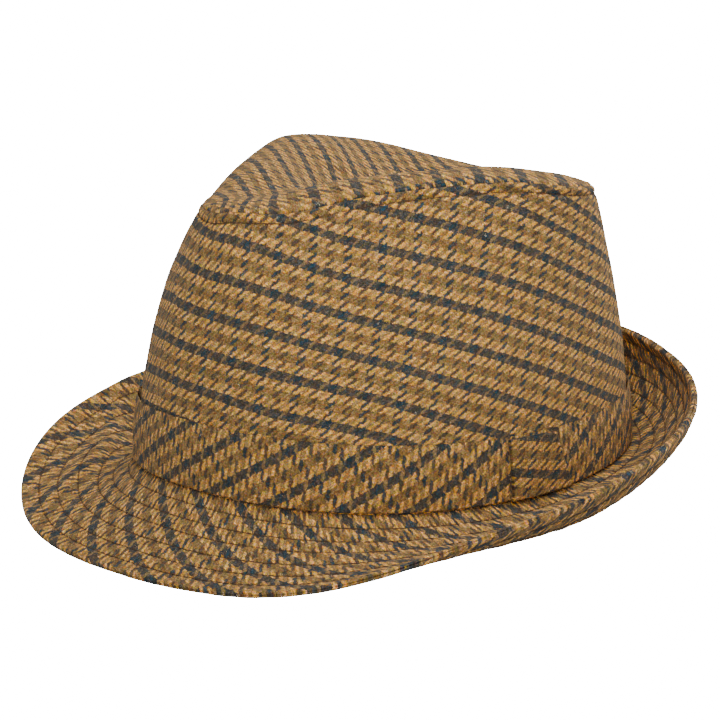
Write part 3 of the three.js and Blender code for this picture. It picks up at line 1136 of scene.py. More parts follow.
@dataclass
class Brim:
    """Two layers of cloth sewn together in rows, with a turned edge.

    Attributes:
        turns: sections round the head.
        rows: rows of the outer face.
        round_rows: rows of the turned edge.
        inner_rows: rows of the inner face.
        lay: how the check lies.
        stitch_rows: places of the stitch rows, as shares of the width.
        furrows: depth and reach of the narrow and of the wide fall to a stitch row, in millimetres.
        pull: depth and reach of the dimples between stitches.
        dimples: radians of them round the head.
        uneven: height of the irregularities.
        settled: depth of the face under its smooth form.
        ease: share of the width over which all this begins at both borders.
    """

    turns: int = 720
    rows: int = 84
    round_rows: int = 8
    inner_rows: int = 12
    lay: Lay = Lay((-0.6413, 0.4396, -4.14), (0.5069, 0.7655, -12.33))
    stitch_rows: tuple[float, ...] = (0.12, 0.26, 0.39, 0.55, 0.71, 0.86)
    furrows: tuple[tuple[float, float], ...] = ((0.32, 0.75), (0.24, 2.2))
    pull: tuple[float, float] = (0.10, 1.6)
    dimples: float = 210.0
    uneven: float = 0.09
    settled: float = 0.12
    ease: float = 0.03

    def relief(self, phi: np.ndarray, share: np.ndarray) -> np.ndarray:
        """Fall of the face below its smooth form: furrows at the rows, cloth swelling between.

        Args:
            phi: angles from the front, one for each section.
            share: 0 at the crown and 1 at the edge, one for each row.

        Returns:
            Depths with a section for each angle and a row for each share.
        """
        width = FORM.brim_values(phi)[3][:, None]
        distance = np.abs(share[:, None] - np.array(self.stitch_rows)).min(axis=-1) * width
        grid_phi = np.broadcast_to(phi[:, None], distance.shape)
        wander = self.uneven * Ripple(6, 34, 90, 0.5)(grid_phi, share * width)
        waves = np.sin(grid_phi * self.dimples + 2.0 * wander)
        fall = self.settled + wander - groove(distance, *self.pull) * waves
        fall -= sum(groove(distance, *furrow) for furrow in self.furrows)
        return fall * np.clip(np.minimum(share, 1.0 - share) / self.ease, 0.0, 1.0)

    def build(self, face: BrimFace, material: bpy.types.Material) -> bpy.types.Object:
        """Carries one layer round the head; its outer face rolls over at the edge of the brim.

        Args:
            face: which layer.
            material: finish of the cloth.

        Returns:
            The new object.
        """
        phi = sections(self.turns) - math.pi
        radius = CLOTH.brim_layer
        width = FORM.brim_values(phi)[3].mean()
        quarter = np.linspace(0.0, math.pi / 2.0, self.round_rows)[1:]
        flat = np.linspace(0.0, 1.0 - radius / width, self.rows)
        shares = np.concatenate([flat, 1.0 - radius * (1.0 - np.sin(quarter)) / width])
        rolled = np.concatenate([np.zeros(self.rows), radius * (1.0 - np.cos(quarter))])
        inner = np.linspace(1.0, 0.0, self.inner_rows)[1:]
        relief = self.relief(phi, shares)
        upper = face is BrimFace.UPPER
        outer_depth = rolled + relief if upper else CLOTH.brim - rolled - relief
        inner_depth = radius if upper else CLOTH.brim - radius
        outer = FORM.resting_brim(phi, shares, outer_depth)
        hidden = FORM.resting_brim(phi, inner, np.full(len(inner), inner_depth))
        foot_in = CrownWall().inner_foot(phi)
        foot_out = FORM.foot(phi)
        for rows, index, depth in ((outer, 0, 0.0 if upper else CLOTH.brim),
                                   (hidden, -1, inner_depth)):
            part = depth / CLOTH.brim
            rows[:, index] = foot_out * (1.0 - part) + foot_in * part
        section = np.concatenate([outer, hidden], axis=1)
        turned_path = flat[-1] + radius * quarter / width
        flat_shares = np.concatenate([flat, turned_path, inner - 1.0 + turned_path[-1]])
        if upper:
            section = section[:, ::-1]
            flat_shares = flat_shares[::-1]
        turned = np.append(phi, math.pi)
        width = FORM.brim_values(turned)[3][:, None]
        middle = FORM.brim_point(FINE_TURN, np.array([0.5]), np.zeros(1))[:, 0]
        run = np.broadcast_to(arc_along(middle, turned)[:, None], (len(turned), len(flat_shares)))
        cloth = self.lay(run, -width * flat_shares)
        # Distance to the stitch rows, along which the material paints shade in the furrows.
        rows_at = np.array(self.stitch_rows)
        seam = np.abs(flat_shares[:, None] - rows_at).min(axis=-1) * width
        name = "brim_cloth_upper" if upper else "brim_cloth_under"
        return Shell(name, section, cloth, seam, Slot.BRIM, face.value).build(material)


@dataclass
class Stitching:
    """Rows of short thread stitches, each a slim rounded rod that dives in at both ends.

    Attributes:
        thread: half the thickness of the thread, in millimetres.
        pitch: distance from one stitch to the next.
        length: length of a stitch.
        rings: rings of points along a stitch.
        sides: points in a ring.
    """

    thread: float = 0.19
    pitch: float = 3.1
    length: float = 2.5
    rings: int = 5
    sides: int = 5

    def rods(self, name: str, tracks: list[Track],
             material: bpy.types.Material, slot: Slot) -> bpy.types.Object:
        """Lays a rod on every pitch of each closed track.

        Args:
            name: name of the piece.
            tracks: pairs of a dense closed line and its outward normals, in millimetres.
            material: finish of the thread.
            slot: material slot of the record.

        Returns:
            The new object.
        """
        points = np.concatenate([self.on_track(line, normal) for line, normal in tracks])
        stitches, rings, sides = points.shape[:3]
        index = np.arange(stitches * rings * sides).reshape(stitches, rings, sides)
        after = np.roll(index, -1, axis=2)
        quads = np.stack([index[:, :-1], after[:, :-1], after[:, 1:], index[:, 1:]], -1)
        quads = quads.reshape(-1, 4)
        start = index[:, 0, ::-1].reshape(-1, sides)
        end = index[:, -1].reshape(-1, sides)
        faces = [(quads, quads), (start, start), (end, end)]
        obj = mesh_object(name, PLACE.over_floor(points), faces)
        dress(obj, material, slot)
        return obj

    def on_track(self, line: np.ndarray, normal: np.ndarray) -> np.ndarray:
        """Rods of one track: rings round the line, thin and sunk at both ends.

        The thread swells and rises with the sine of the way along a stitch.

        Args:
            line: points of the closed line.
            normal: way out of the cloth at each point.

        Returns:
            Points of each rod, ring by ring.
        """
        looped = np.concatenate([line, line[:1]])
        steps = np.linalg.norm(np.diff(looped, axis=0), axis=1)
        arc = np.concatenate([[0.0], np.cumsum(steps)])
        count = int(round(arc[-1] / self.pitch))
        start = np.arange(count) * arc[-1] / count
        share = np.linspace(0.0, 1.0, self.rings)
        at = (start[:, None] + share[None, :] * self.length) % arc[-1]
        centre, up = (np.stack([np.interp(at, arc, values[:, k]) for k in range(3)], axis=-1)
                      for values in (looped, np.concatenate([normal, normal[:1]])))
        up /= np.linalg.norm(up, axis=-1, keepdims=True)
        ahead = np.gradient(centre, axis=1)
        ahead /= np.linalg.norm(ahead, axis=-1, keepdims=True)
        side = np.cross(ahead, up)
        bulge = np.sin(math.pi * (0.12 + 0.76 * share))
        centre = centre + up * (self.thread * (1.5 * bulge - 0.75))[None, :, None]
        radius = (self.thread * (0.45 + 0.55 * bulge))[None, :, None, None]
        turn = np.linspace(0.0, TWO_PI, self.sides, endpoint=False)[None, None, :, None]
        return centre[:, :, None] + radius * (side[:, :, None] * np.cos(turn)
                                              - up[:, :, None] * np.sin(turn))


@dataclass
class Nap:
    """Loose fibres that stand a little off the cloth, each a slim bent spike of three sides.

    Attributes:
        radius: half the thickness of a fibre at its foot, in millimetres.
        short: length of the shortest fibre.
        long: length of the longest common fibre.
        stray: share of the fibres that are longer still.
        stray_times: how many times as long they are.
        rise: least and most height of a fibre's end, as a share of its length.
        rise_to: length over which a fibre stands no higher.
        curl: spread of the sideways bend, as a share of the length.
        sunk: how deep the foot is rooted.
        upward: upward part of a normal over which a face counts as outer.
        scatter: spread of a root about the middle of its face.
    """

    radius: float = 0.034
    short: float = 0.9
    long: float = 2.1
    stray: float = 0.006
    stray_times: float = 3.0
    rise: tuple[float, float] = (0.12, 0.55)
    rise_to: float = 1.6
    curl: float = 0.25
    sunk: float = 0.15
    upward: float = 0.35
    scatter: float = 0.2

    def cover(self, name: str, carriers: list[tuple[bpy.types.Object, int]], seed: int,
              material: bpy.types.Material, slot: Slot) -> bpy.types.Object:
        """Scatters fibres over the outer faces of finished pieces, by area.

        Args:
            name: name of the piece.
            carriers: pieces with the count of fibres on each.
            seed: keeps the chance of one piece apart from the next.
            material: finish of the fibres.
            slot: material slot of the record.

        Returns:
            The new object, whose cloth map holds two chances for each fibre.
        """
        rng = np.random.default_rng(SEED + seed)
        roots, normals = zip(*(self.places(piece, count, rng) for piece, count in carriers))
        points = self.spikes(np.concatenate(roots), np.concatenate(normals), rng)
        count, corners = points.shape[:2]
        index = np.arange(count * corners).reshape(count, corners)
        foot, middle, end = index[:, 0:3], index[:, 3:6], index[:, [6, 6, 6]]
        foot_ahead, middle_ahead = np.roll(foot, -1, axis=1), np.roll(middle, -1, axis=1)
        quads = np.stack([foot, middle, middle_ahead, foot_ahead], axis=-1).reshape(-1, 4)
        ends = np.stack([middle, end, middle_ahead], axis=-1).reshape(-1, 3)
        chance = np.repeat(rng.random((count, 2)), corners, axis=0)
        obj = mesh_object(name, PLACE.over_floor(points),
                          [(quads, quads), (ends, ends), (foot, foot)], chance,
                          np.zeros(count * corners), smooth=False)
        dress(obj, material, slot)
        return obj

    def spikes(self, root: np.ndarray, normal: np.ndarray,
               rng: np.random.Generator) -> np.ndarray:
        """Bends each fibre over: its middle is nearly as high as its end and curls to one side.

        Args:
            root: points of the cloth.
            normal: way out of the cloth at each point.
            rng: source of the chances.

        Returns:
            Seven points for each fibre: a ring at its foot, a ring at its middle and its end.
        """
        count = len(root)
        lean = rng.normal(size=(count, 3))
        lean -= normal * (lean * normal).sum(axis=1, keepdims=True)
        lean /= np.linalg.norm(lean, axis=1, keepdims=True)
        side = np.cross(normal, lean)
        length = rng.uniform(self.short, self.long, (count, 1))
        length = np.where(rng.random((count, 1)) < self.stray, length * self.stray_times, length)
        height = rng.uniform(*self.rise, (count, 1)) * np.minimum(length, self.rise_to)
        curl = side * rng.normal(0.0, self.curl, (count, 1)) * length
        foot = root - self.sunk * normal
        middle = root + lean * length * 0.5 + normal * height * 0.8 + curl
        end = root + lean * length * 0.9 + normal * height
        angle = (np.arange(3) * TWO_PI / 3.0)[None, :, None]
        ring = (np.cos(angle) * side[:, None] + np.sin(angle) * normal[:, None]) * self.radius
        return np.concatenate([foot[:, None] + ring, middle[:, None] + ring * 0.8, end[:, None]],
                              axis=1)

    def places(self, piece: bpy.types.Object, count: int,
               rng: np.random.Generator) -> tuple[np.ndarray, np.ndarray]:
        """Random points on the outer faces of a piece, which face away from the middle or upward.

        Args:
            piece: finished piece.
            count: number of points.
            rng: source of the chances.

        Returns:
            Points and normals in the head frame.
        """
        mesh = piece.data
        number = len(mesh.polygons)
        centre, normal, area = np.empty(number * 3), np.empty(number * 3), np.empty(number)
        for key, values in (("center", centre), ("normal", normal), ("area", area)):
            mesh.polygons.foreach_get(key, values)
        centre, normal = centre.reshape(-1, 3), normal.reshape(-1, 3)
        away = centre * np.array([1.0, 1.0, 0.0]) + np.array([0.0, -0.01, 0.0])
        outer = ((normal * away).sum(axis=1) > 0.0) | (normal[:, 2] > self.upward)
        chosen = rng.choice(number, count, p=area * outer / (area * outer).sum())
        root = centre[chosen] + rng.normal(0.0, self.scatter * MM, (count, 3))
        return (root / MM - PLACE.shift) @ PLACE.turn, normal[chosen] @ PLACE.turn


def math_method(operation: str, swapped: bool = False) -> Callable[..., "Socket"]:
    """Method of a socket that adds one Math node.

    Args:
        operation: what the node does.
        swapped: whether the socket comes after the other numbers.

    Returns:
        The method, which takes the other numbers.
    """

    def method(socket: "Socket", *others: "Number") -> "Socket":
        """Output of the new node."""
        values = (*others, socket) if swapped else (socket, *others)
        return socket.graph.node("ShaderNodeMath", {"operation": operation},
                                 dict(enumerate(values)))

    return method


class Socket:
    """Output of a shader node that takes the ordinary arithmetic signs."""

    __add__, __radd__ = math_method("ADD"), math_method("ADD", True)
    __sub__, __rsub__ = math_method("SUBTRACT"), math_method("SUBTRACT", True)
    __mul__, __rmul__ = math_method("MULTIPLY"), math_method("MULTIPLY", True)
    __truediv__ = math_method("DIVIDE")
    __gt__, __lt__ = math_method("GREATER_THAN"), math_method("LESS_THAN")
    floor, absolute = math_method("FLOOR"), math_method("ABSOLUTE")
    sine, cosine = math_method("SINE"), math_method("COSINE")
    exp, wrap = math_method("EXPONENT"), math_method("FLOORED_MODULO")

    def __init__(self, graph: "Graph", out: bpy.types.NodeSocket) -> None:
        """Wraps an output of a node in the graph."""
        self.graph = graph
        self.out = out

    def ramp(self, low: float, high: float) -> "Socket":
        """Rises smoothly from 0 to 1 between two values, or falls where low is over high."""
        rising = {"Value": self, "From Min": min(low, high), "From Max": max(low, high),
                  "To Min": float(low > high), "To Max": float(low < high)}
        return self.graph.node("ShaderNodeMapRange", {"interpolation_type": "SMOOTHSTEP"}, rising)


Number = Socket | float
Colour = Socket | tuple[float, float, float, float]


class Graph:
    """Shader nodes of one material, made through a single method."""

    def __init__(self, name: str) -> None:
        """Starts an empty material.

        Args:
            name: name of the material.
        """
        self.material = bpy.data.materials.new(name)
        self.material.use_nodes = True
        self.tree = self.material.node_tree
        self.tree.nodes.clear()

    def node(self, kind: str, settings: dict, sockets: dict, output: str | int = 0) -> Socket:
        """Makes a node: first its settings, then its sockets.

        Args:
            kind: node type.
            settings: properties of the node.
            sockets: values or sockets by name or number.
            output: name or number of the output that is wanted.

        Returns:
            That output.
        """
        made = self.tree.nodes.new(kind)
        for key, value in settings.items():
            setattr(made, key, value)
        for key, value in sockets.items():
            if isinstance(value, Socket):
                self.tree.links.new(value.out, made.inputs[key])
            elif value is not None:
                made.inputs[key].default_value = value
        return Socket(self, made.outputs[output])

    def vector(self, x: Number, y: Number, z: Number = 0.0) -> Socket:
        """Joins three numbers to a vector."""
        return self.node("ShaderNodeCombineXYZ", {}, {"X": x, "Y": y, "Z": z})

    def noise(self, vector: Socket) -> Socket:
        """Smooth noise of unit grain about 0.5, widened to reach 0 and 1."""
        raw = self.node("ShaderNodeTexNoise", {"noise_dimensions": "3D"},
                        {"Vector": vector, "Scale": 1.0, "Detail": 0.0, "Roughness": 0.5})
        return (raw - 0.5) * 1.55 + 0.5

    def random(self, x: Number, y: Number, z: Number) -> Socket:
        """Number from 0 to 1 for each whole pair."""
        return self.node("ShaderNodeTexWhiteNoise", {"noise_dimensions": "3D"},
                         {"Vector": self.vector(x, y, z)}, "Value")

    def number_mix(self, factor: Number, first: Number, second: Number) -> Socket:
        """Mixes two numbers."""
        return self.node("ShaderNodeMix", {"data_type": "FLOAT"},
                         {0: factor, 2: first, 3: second})

    def mix(self, factor: Number, first: Colour, second: Colour) -> Socket:
        """Mixes two colours."""
        return self.node("ShaderNodeMix", {"data_type": "RGBA"},
                         {0: factor, 6: first, 7: second}, 2)

    def scale(self, colour: Colour, factor: Number) -> Socket:
        """Colour times a number."""
        return self.node("ShaderNodeVectorMath", {"operation": "SCALE"},
                         {"Vector": colour, "Scale": factor})

    def map_pair(self, name: str) -> tuple[Socket, Socket]:
        """The two numbers of a UV map."""
        place = self.node("ShaderNodeUVMap", {"uv_map": name}, {})
        first = self.node("ShaderNodeSeparateXYZ", {}, {"Vector": place})
        return first, Socket(self, first.out.node.outputs["Y"])

    def finish(self, shader: Socket) -> bpy.types.Material:
        """Links the shader to the surface and hands over the material."""
        end = self.tree.nodes.new("ShaderNodeOutputMaterial")
        self.tree.links.new(shader.out, end.inputs["Surface"])
        return self.material


def rgb(red: int, green: int, blue: int) -> tuple[float, float, float, float]:
    """Linear colour of screen values from 0 to 255."""
    linear = [((c / 255.0 + 0.055) / 1.055) ** 2.4 for c in (red, green, blue)]
    return (*linear, 1.0)


@dataclass(frozen=True)
class Grain:
    """Noise whose spots are drawn out along a direction of the cloth.

    Attributes:
        across: size of a spot across the direction, in millimetres.
        along: size of a spot along it, in millimetres.
        turn: direction, in degrees from the weft.
        number: keeps one noise apart from the next.
    """

    across: float
    along: float
    turn: float
    number: float


@dataclass(frozen=True)
class Tint:
    """Fibres of another colour, where a noise is near one of its ends.

    Attributes:
        colour: colour of the fibres, as bright as the cloth round them.
        grain: noise that places them.
        begin: value of the noise where they begin.
        full: value where they are at their share.
        share: their part of the colour.
        spared: how much less of it the dark weft has.
    """

    colour: tuple
    grain: Grain
    begin: float
    full: float
    share: float
    spared: float = 0.0


FLAT_FIBRES = Grain(0.26, 0.80, 24.0, 5.0)
STEEP_FIBRES = Grain(0.24, 0.95, 84.0, 6.0)
SPECKS = Grain(0.38, 0.38, 0.0, 7.0)
CLOUDS = Grain(3.0, 4.5, 10.0, 9.0)
WARP_FINE = Grain(0.35, 0.35, 0.0, 11.0)
WARP_WIDE = Grain(1.5, 1.5, 0.0, 12.0)
WEFT_FINE = Grain(0.35, 0.35, 0.0, 13.0)
WEFT_WIDE = Grain(1.5, 1.5, 0.0, 14.0)
FRAY = Grain(0.5, 0.9, 50.0, 15.0)
HUE = Grain(0.5, 0.9, 35.0, 16.0)
# Patches that make the painted shade at the seams uneven.
SEAM_SHADE_PATCHES = Grain(2.0, 2.0, 0.0, 17.0)
FLECKS = Grain(0.45, 1.5, 0.0, 8.0)
CROSS_FLECKS = Grain(0.9, 0.5, 0.0, 18.0)
DRIFT = Grain(2.4, 3.2, 30.0, 19.0)
TINTS = (
    Tint(rgb(190, 92, 26), FLECKS, 0.40, 0.27, 0.58, 0.30),
    Tint(rgb(92, 104, 30), CROSS_FLECKS, 0.58, 0.72, 0.52),
    Tint(rgb(178, 114, 44), DRIFT, 0.50, 0.80, 0.26),
    Tint(rgb(122, 124, 48), DRIFT, 0.50, 0.20, 0.22),
    Tint(rgb(222, 172, 120), FLECKS, 0.68, 0.80, 0.40),
    Tint(rgb(112, 96, 132), CROSS_FLECKS, 0.38, 0.26, 0.32),
)


class ClothPlane:
    """Cloth coordinates of a material, with the noises that lie in them."""

    def __init__(self, graph: Graph, seed: float) -> None:
        """Reads the cloth coordinates of the piece.

        Args:
            graph: nodes of the material.
            seed: place of the noises.
        """
        self.graph = graph
        self.seed = seed
        self.across_warp, self.across_weft = graph.map_pair("cloth")
        self.made: dict[Grain, Socket] = {}

    def noise(self, grain: Grain) -> Socket:
        """Noise from 0 to 1 in coordinates that are turned and divided by the size of its spots.

        Args:
            grain: size, direction and number of the noise.

        Returns:
            The noise, which is made once and kept for the next time it is asked for.
        """
        if grain not in self.made:
            turn = math.radians(grain.turn)
            cosine, sine = math.cos(turn), math.sin(turn)
            along = (self.across_warp * cosine + self.across_weft * sine) / grain.along
            across = (self.across_weft * cosine - self.across_warp * sine) / grain.across
            place = self.graph.vector(along, across, self.seed + grain.number)
            self.made[grain] = self.graph.noise(place)
        return self.made[grain]

    def chance(self, x: Socket, y: Socket, number: float) -> Socket:
        """Number from 0 to 1 for each whole pair."""
        return self.graph.random(x, y, self.seed + number)


@dataclass(frozen=True)
class Weave:
    """What the yarns of a cloth give to the fibres on them.

    Attributes:
        colour: colour of the yarn on top.
        dark: 1 on the dark weft yarns.
        body: height of the rounded yarns, which also paints shade between them in the colour.
        warp_number: number of the warp yarn.
        weft_number: number of the weft yarn.
    """

    colour: Socket
    dark: Socket
    body: Socket
    warp_number: Socket
    weft_number: Socket


@dataclass(frozen=True)
class TweedFinish:
    """Yarns and colours of the checked tweed, a two-and-two twill in blocks of four yarns.

    Attributes:
        name: name of the material.
        tone: brightness of the whole cloth.
        seed: keeps the chance of one piece apart from the next.
        contrast: strength of the light and dark of single fibres.
        packed: how far the dark weft is beaten over the light warp.
        packed_ochre: the same for the ochre weft.
        pitch: distance of the yarns both ways, in millimetres.
        block: number of neighbouring yarns of one colour.
        check: number of yarns in one check.
        wander: how far yarns stray, in millimetres: the warp and the weft finely, both widely.
        frayed: how far, in yarns, the border of a float is frayed.
        float_tone: tone of the darkest float and how much the lightest has over it.
        nep_from: chance over which a crossing of yarns carries a white nep.
        seam_shade: painted shade at a seam where it is least, and how much more it has where it is
            most.
        seam_reach: distance over which the painted shade of a seam reaches, in millimetres.
    """

    name: str
    tone: float = 1.0
    seed: float = 0.0
    contrast: float = 1.0
    packed: float = 0.46
    packed_ochre: float = 0.36
    pitch: float = 0.8625
    block: float = 4.0
    check: float = 16.0
    wander: tuple[float, float, float] = (0.34, 0.40, 0.60)
    frayed: float = 0.55
    float_tone: tuple[float, float] = (0.72, 0.56)
    nep_from: float = 0.9975
    seam_shade: tuple[float, float] = (0.28, 0.46)
    seam_reach: float = 0.40
    weft_light: tuple = rgb(233, 177, 86)
    weft_gold: tuple = rgb(240, 173, 38)
    weft_ochre: tuple = rgb(144, 115, 62)
    weft_dark: tuple = rgb(67, 74, 76)
    warp_light: tuple = rgb(161, 128, 75)
    warp_brown: tuple = rgb(80, 77, 68)
    warp_navy: tuple = rgb(26, 66, 82)
    white: tuple = rgb(236, 222, 190)

    def build(self) -> bpy.types.Material:
        """Weaves the yarns, frays them into fibres, tints these and paints shade at the seams.

        The brightness of the fibres is the exponential of a sum of noises and of the yarn height,
        which paints shade between the yarns. Painted shade darkens the cloth at a seam in a bell
        shape over its distance, unevenly along its way.

        Returns:
            The material, in the cloth coordinates of its piece.
        """
        g = Graph(self.name)
        plane = ClothPlane(g, self.seed)
        weave = self.weave(plane)
        flat_fibres = plane.noise(FLAT_FIBRES)
        steep_fibres = plane.noise(STEEP_FIBRES)
        specks = plane.noise(SPECKS)
        clouds = plane.noise(CLOUDS)
        # The yarn height in this sum paints shade between the yarns; the noises vary the fibres' own
        # tone.
        depth = (0.95 * flat_fibres + 0.85 * steep_fibres + 0.85 * specks + 0.35 * clouds
                 + 0.55 * weave.body - 1.80)
        colour = g.scale(weave.colour, (depth * self.contrast).exp())
        colour = self.tinted(plane, colour, weave.dark)
        knot = plane.chance(weave.warp_number, weave.weft_number, 3.0) > self.nep_from
        colour = g.mix(knot * specks.ramp(0.52, 0.68) * 0.7, colour, self.white)
        # Painted shade: the cloth darkens near seams, folds and stitch rows, in a bell over the
        # distance in the seam map.
        near = g.map_pair("seam")[0] / self.seam_reach
        uneven = self.seam_shade[0] + self.seam_shade[1] * plane.noise(SEAM_SHADE_PATCHES)
        shade = 1.0 - uneven * (near * near * -1.0).exp()
        colour = g.scale(colour, shade * self.tone)
        relief = 0.8 * weave.body + 0.7 * flat_fibres + 0.5 * steep_fibres + 0.5 * specks
        bump = g.node("ShaderNodeBump", {}, {"Strength": 0.6, "Distance": 0.00028,
                                             "Height": relief})
        shader = g.node("ShaderNodeBsdfPrincipled", {},
                        {"Base Color": colour, "Roughness": 0.93, "Specular IOR Level": 0.18,
                         "Sheen Weight": 0.08, "Sheen Roughness": 0.5, "Normal": bump})
        return g.finish(shader)

    def weave(self, plane: ClothPlane) -> Weave:
        """Crosses the yarns: their numbers give the colours and the twill says which is on top.

        The warp runs navy, light, brown, light, the weft dark, light, ochre, light. A warp yarn
        lies on top where warp number less weft number, wrapped to a block, is within one of the
        twill line. A float is as high as the cosine of its distance from that line, and a yarn as the
        sine across it.

        Args:
            plane: coordinates and noises of the cloth.

        Returns:
            Colour and relief of the yarns.
        """
        g = plane.graph
        fine_warp, fine_weft, wide = self.wander
        warp = (plane.across_warp + fine_warp * (plane.noise(WARP_FINE) - 0.5)
                + wide * (plane.noise(WARP_WIDE) - 0.5)) / self.pitch
        weft = (plane.across_weft + fine_weft * (plane.noise(WEFT_FINE) - 0.5)
                + wide * (plane.noise(WEFT_WIDE) - 0.5)) / self.pitch
        warp_number, weft_number = warp.floor(), weft.floor()
        navy, brown = self.blocks(warp_number)
        dark, ochre = self.blocks(weft_number)
        twill = warp - weft + 2.5
        line = twill.wrap(self.block) - self.block / 2.0
        plain = 1.0 - navy - brown
        rough = line.absolute() + self.frayed * (plane.noise(FRAY) - 0.5)
        over = (rough + 0.06 * (1.0 - dark) * (1.0 - plain)).ramp(1.28, 0.72)
        covered = plain * (self.packed * dark + self.packed_ochre * ochre) + 0.04 * (1.0 - dark)
        float_number = (twill / self.block).floor()
        low, more = self.float_tone
        weft_tone = low + more * plane.chance(weft_number, float_number, 1.0)
        warp_tone = low + more * plane.chance(warp_number, float_number, 2.0)
        hue = 0.5 * plane.chance(weft_number, float_number, 4.0) + 0.5 * plane.noise(HUE)
        light = g.mix(hue.ramp(0.38, 0.64), self.weft_light, self.weft_gold)
        weft_colour = g.mix(dark, g.mix(ochre, light, self.weft_ochre), self.weft_dark)
        warp_colour = g.mix(navy, g.mix(brown, self.warp_light, self.warp_brown), self.warp_navy)
        colour = g.mix(over * (1.0 - covered), g.scale(weft_colour, weft_tone),
                       g.scale(warp_colour, warp_tone))
        round_yarn = g.number_mix(over, (weft * math.pi).sine().absolute(),
                                  (warp * math.pi).sine().absolute())
        ribs = (line * (math.pi / 2.0)).cosine().absolute()
        return Weave(colour, dark, ribs * (0.35 + 0.65 * round_yarn), warp_number, weft_number)

    def blocks(self, number: Socket) -> tuple[Socket, Socket]:
        """Masks of the first and the third block of a check, for yarns that are numbered whole."""
        at = number.wrap(self.check)
        border = self.block - 0.5
        return at < border, (at > border + self.block) * (at < border + 2.0 * self.block)

    def tinted(self, plane: ClothPlane, colour: Socket, dark: Socket) -> Socket:
        """Adds the fibres of other colours one after the other.

        Args:
            plane: coordinates and noises of the cloth.
            colour: colour of the fibres so far.
            dark: 1 on the dark weft yarns.

        Returns:
            The tinted colour.
        """
        g = plane.graph
        level = g.node("ShaderNodeSeparateColor", {}, {"Color": colour}, "Green") / 0.2
        for tint in TINTS:
            share = tint.share - tint.spared * dark if tint.spared else tint.share
            mask = plane.noise(tint.grain).ramp(tint.begin, tint.full) * share
            colour = g.mix(mask, colour, g.scale(g.vector(*tint.colour[:3]), level))
        return colour


@dataclass(frozen=True)
class ThreadFinish:
    """Sewing thread."""

    name: str = "sewing_thread"
    dark: tuple = rgb(58, 38, 20)
    pale: tuple = rgb(104, 72, 40)

    def build(self) -> bpy.types.Material:
        """Varies the tone of the thread and twists its surface.

        Returns:
            The new material.
        """
        g = Graph(self.name)
        place = g.node("ShaderNodeTexCoord", {}, {}, "Object")
        tone = g.node("ShaderNodeTexNoise", {}, {"Vector": place, "Scale": 260.0, "Detail": 2.0})
        twist = g.node("ShaderNodeTexWave", {"bands_direction": "DIAGONAL"},
                       {"Vector": place, "Scale": 900.0, "Distortion": 1.0})
        colour = g.mix(tone, self.dark, self.pale)
        bump = g.node("ShaderNodeBump", {}, {"Strength": 0.4, "Distance": 0.0001, "Height": twist})
        shader = g.node("ShaderNodeBsdfPrincipled", {},
                        {"Base Color": colour, "Roughness": 0.7, "Normal": bump})
        return g.finish(shader)


@dataclass(frozen=True)
class FibreFinish:
    """Colours of the loose fibres."""

    name: str = "loose_fibres"
    gold: tuple = rgb(206, 160, 92)
    straw: tuple = rgb(232, 206, 156)
    moss: tuple = rgb(104, 100, 52)
    slate: tuple = rgb(60, 70, 80)

    def build(self) -> bpy.types.Material:
        """Gives each fibre one of the colours by its chance.

        Returns:
            The new material.
        """
        g = Graph(self.name)
        chance, second = g.map_pair("cloth")
        colour = g.mix(chance > 0.45, self.gold, self.straw)
        colour = g.mix(chance > 0.68, colour, self.moss)
        colour = g.mix(chance > 0.84, colour, self.slate)
        colour = g.scale(colour, 0.75 + 0.5 * second)
        shader = g.node("ShaderNodeBsdfPrincipled", {},
                        {"Base Color": colour, "Roughness": 0.8, "Specular IOR Level": 0.2})
        return g.finish(shader)


@dataclass(frozen=True)
class Lamp:
    """Square area light.

    Attributes:
        name: name of the light.
        place: where it hangs, in metres.
        height: height of the point over the origin that it looks at.
        size: side of the square.
        power: watts.
    """

    name: str
    place: tuple[float, float, float]
    height: float
    size: float
    power: float


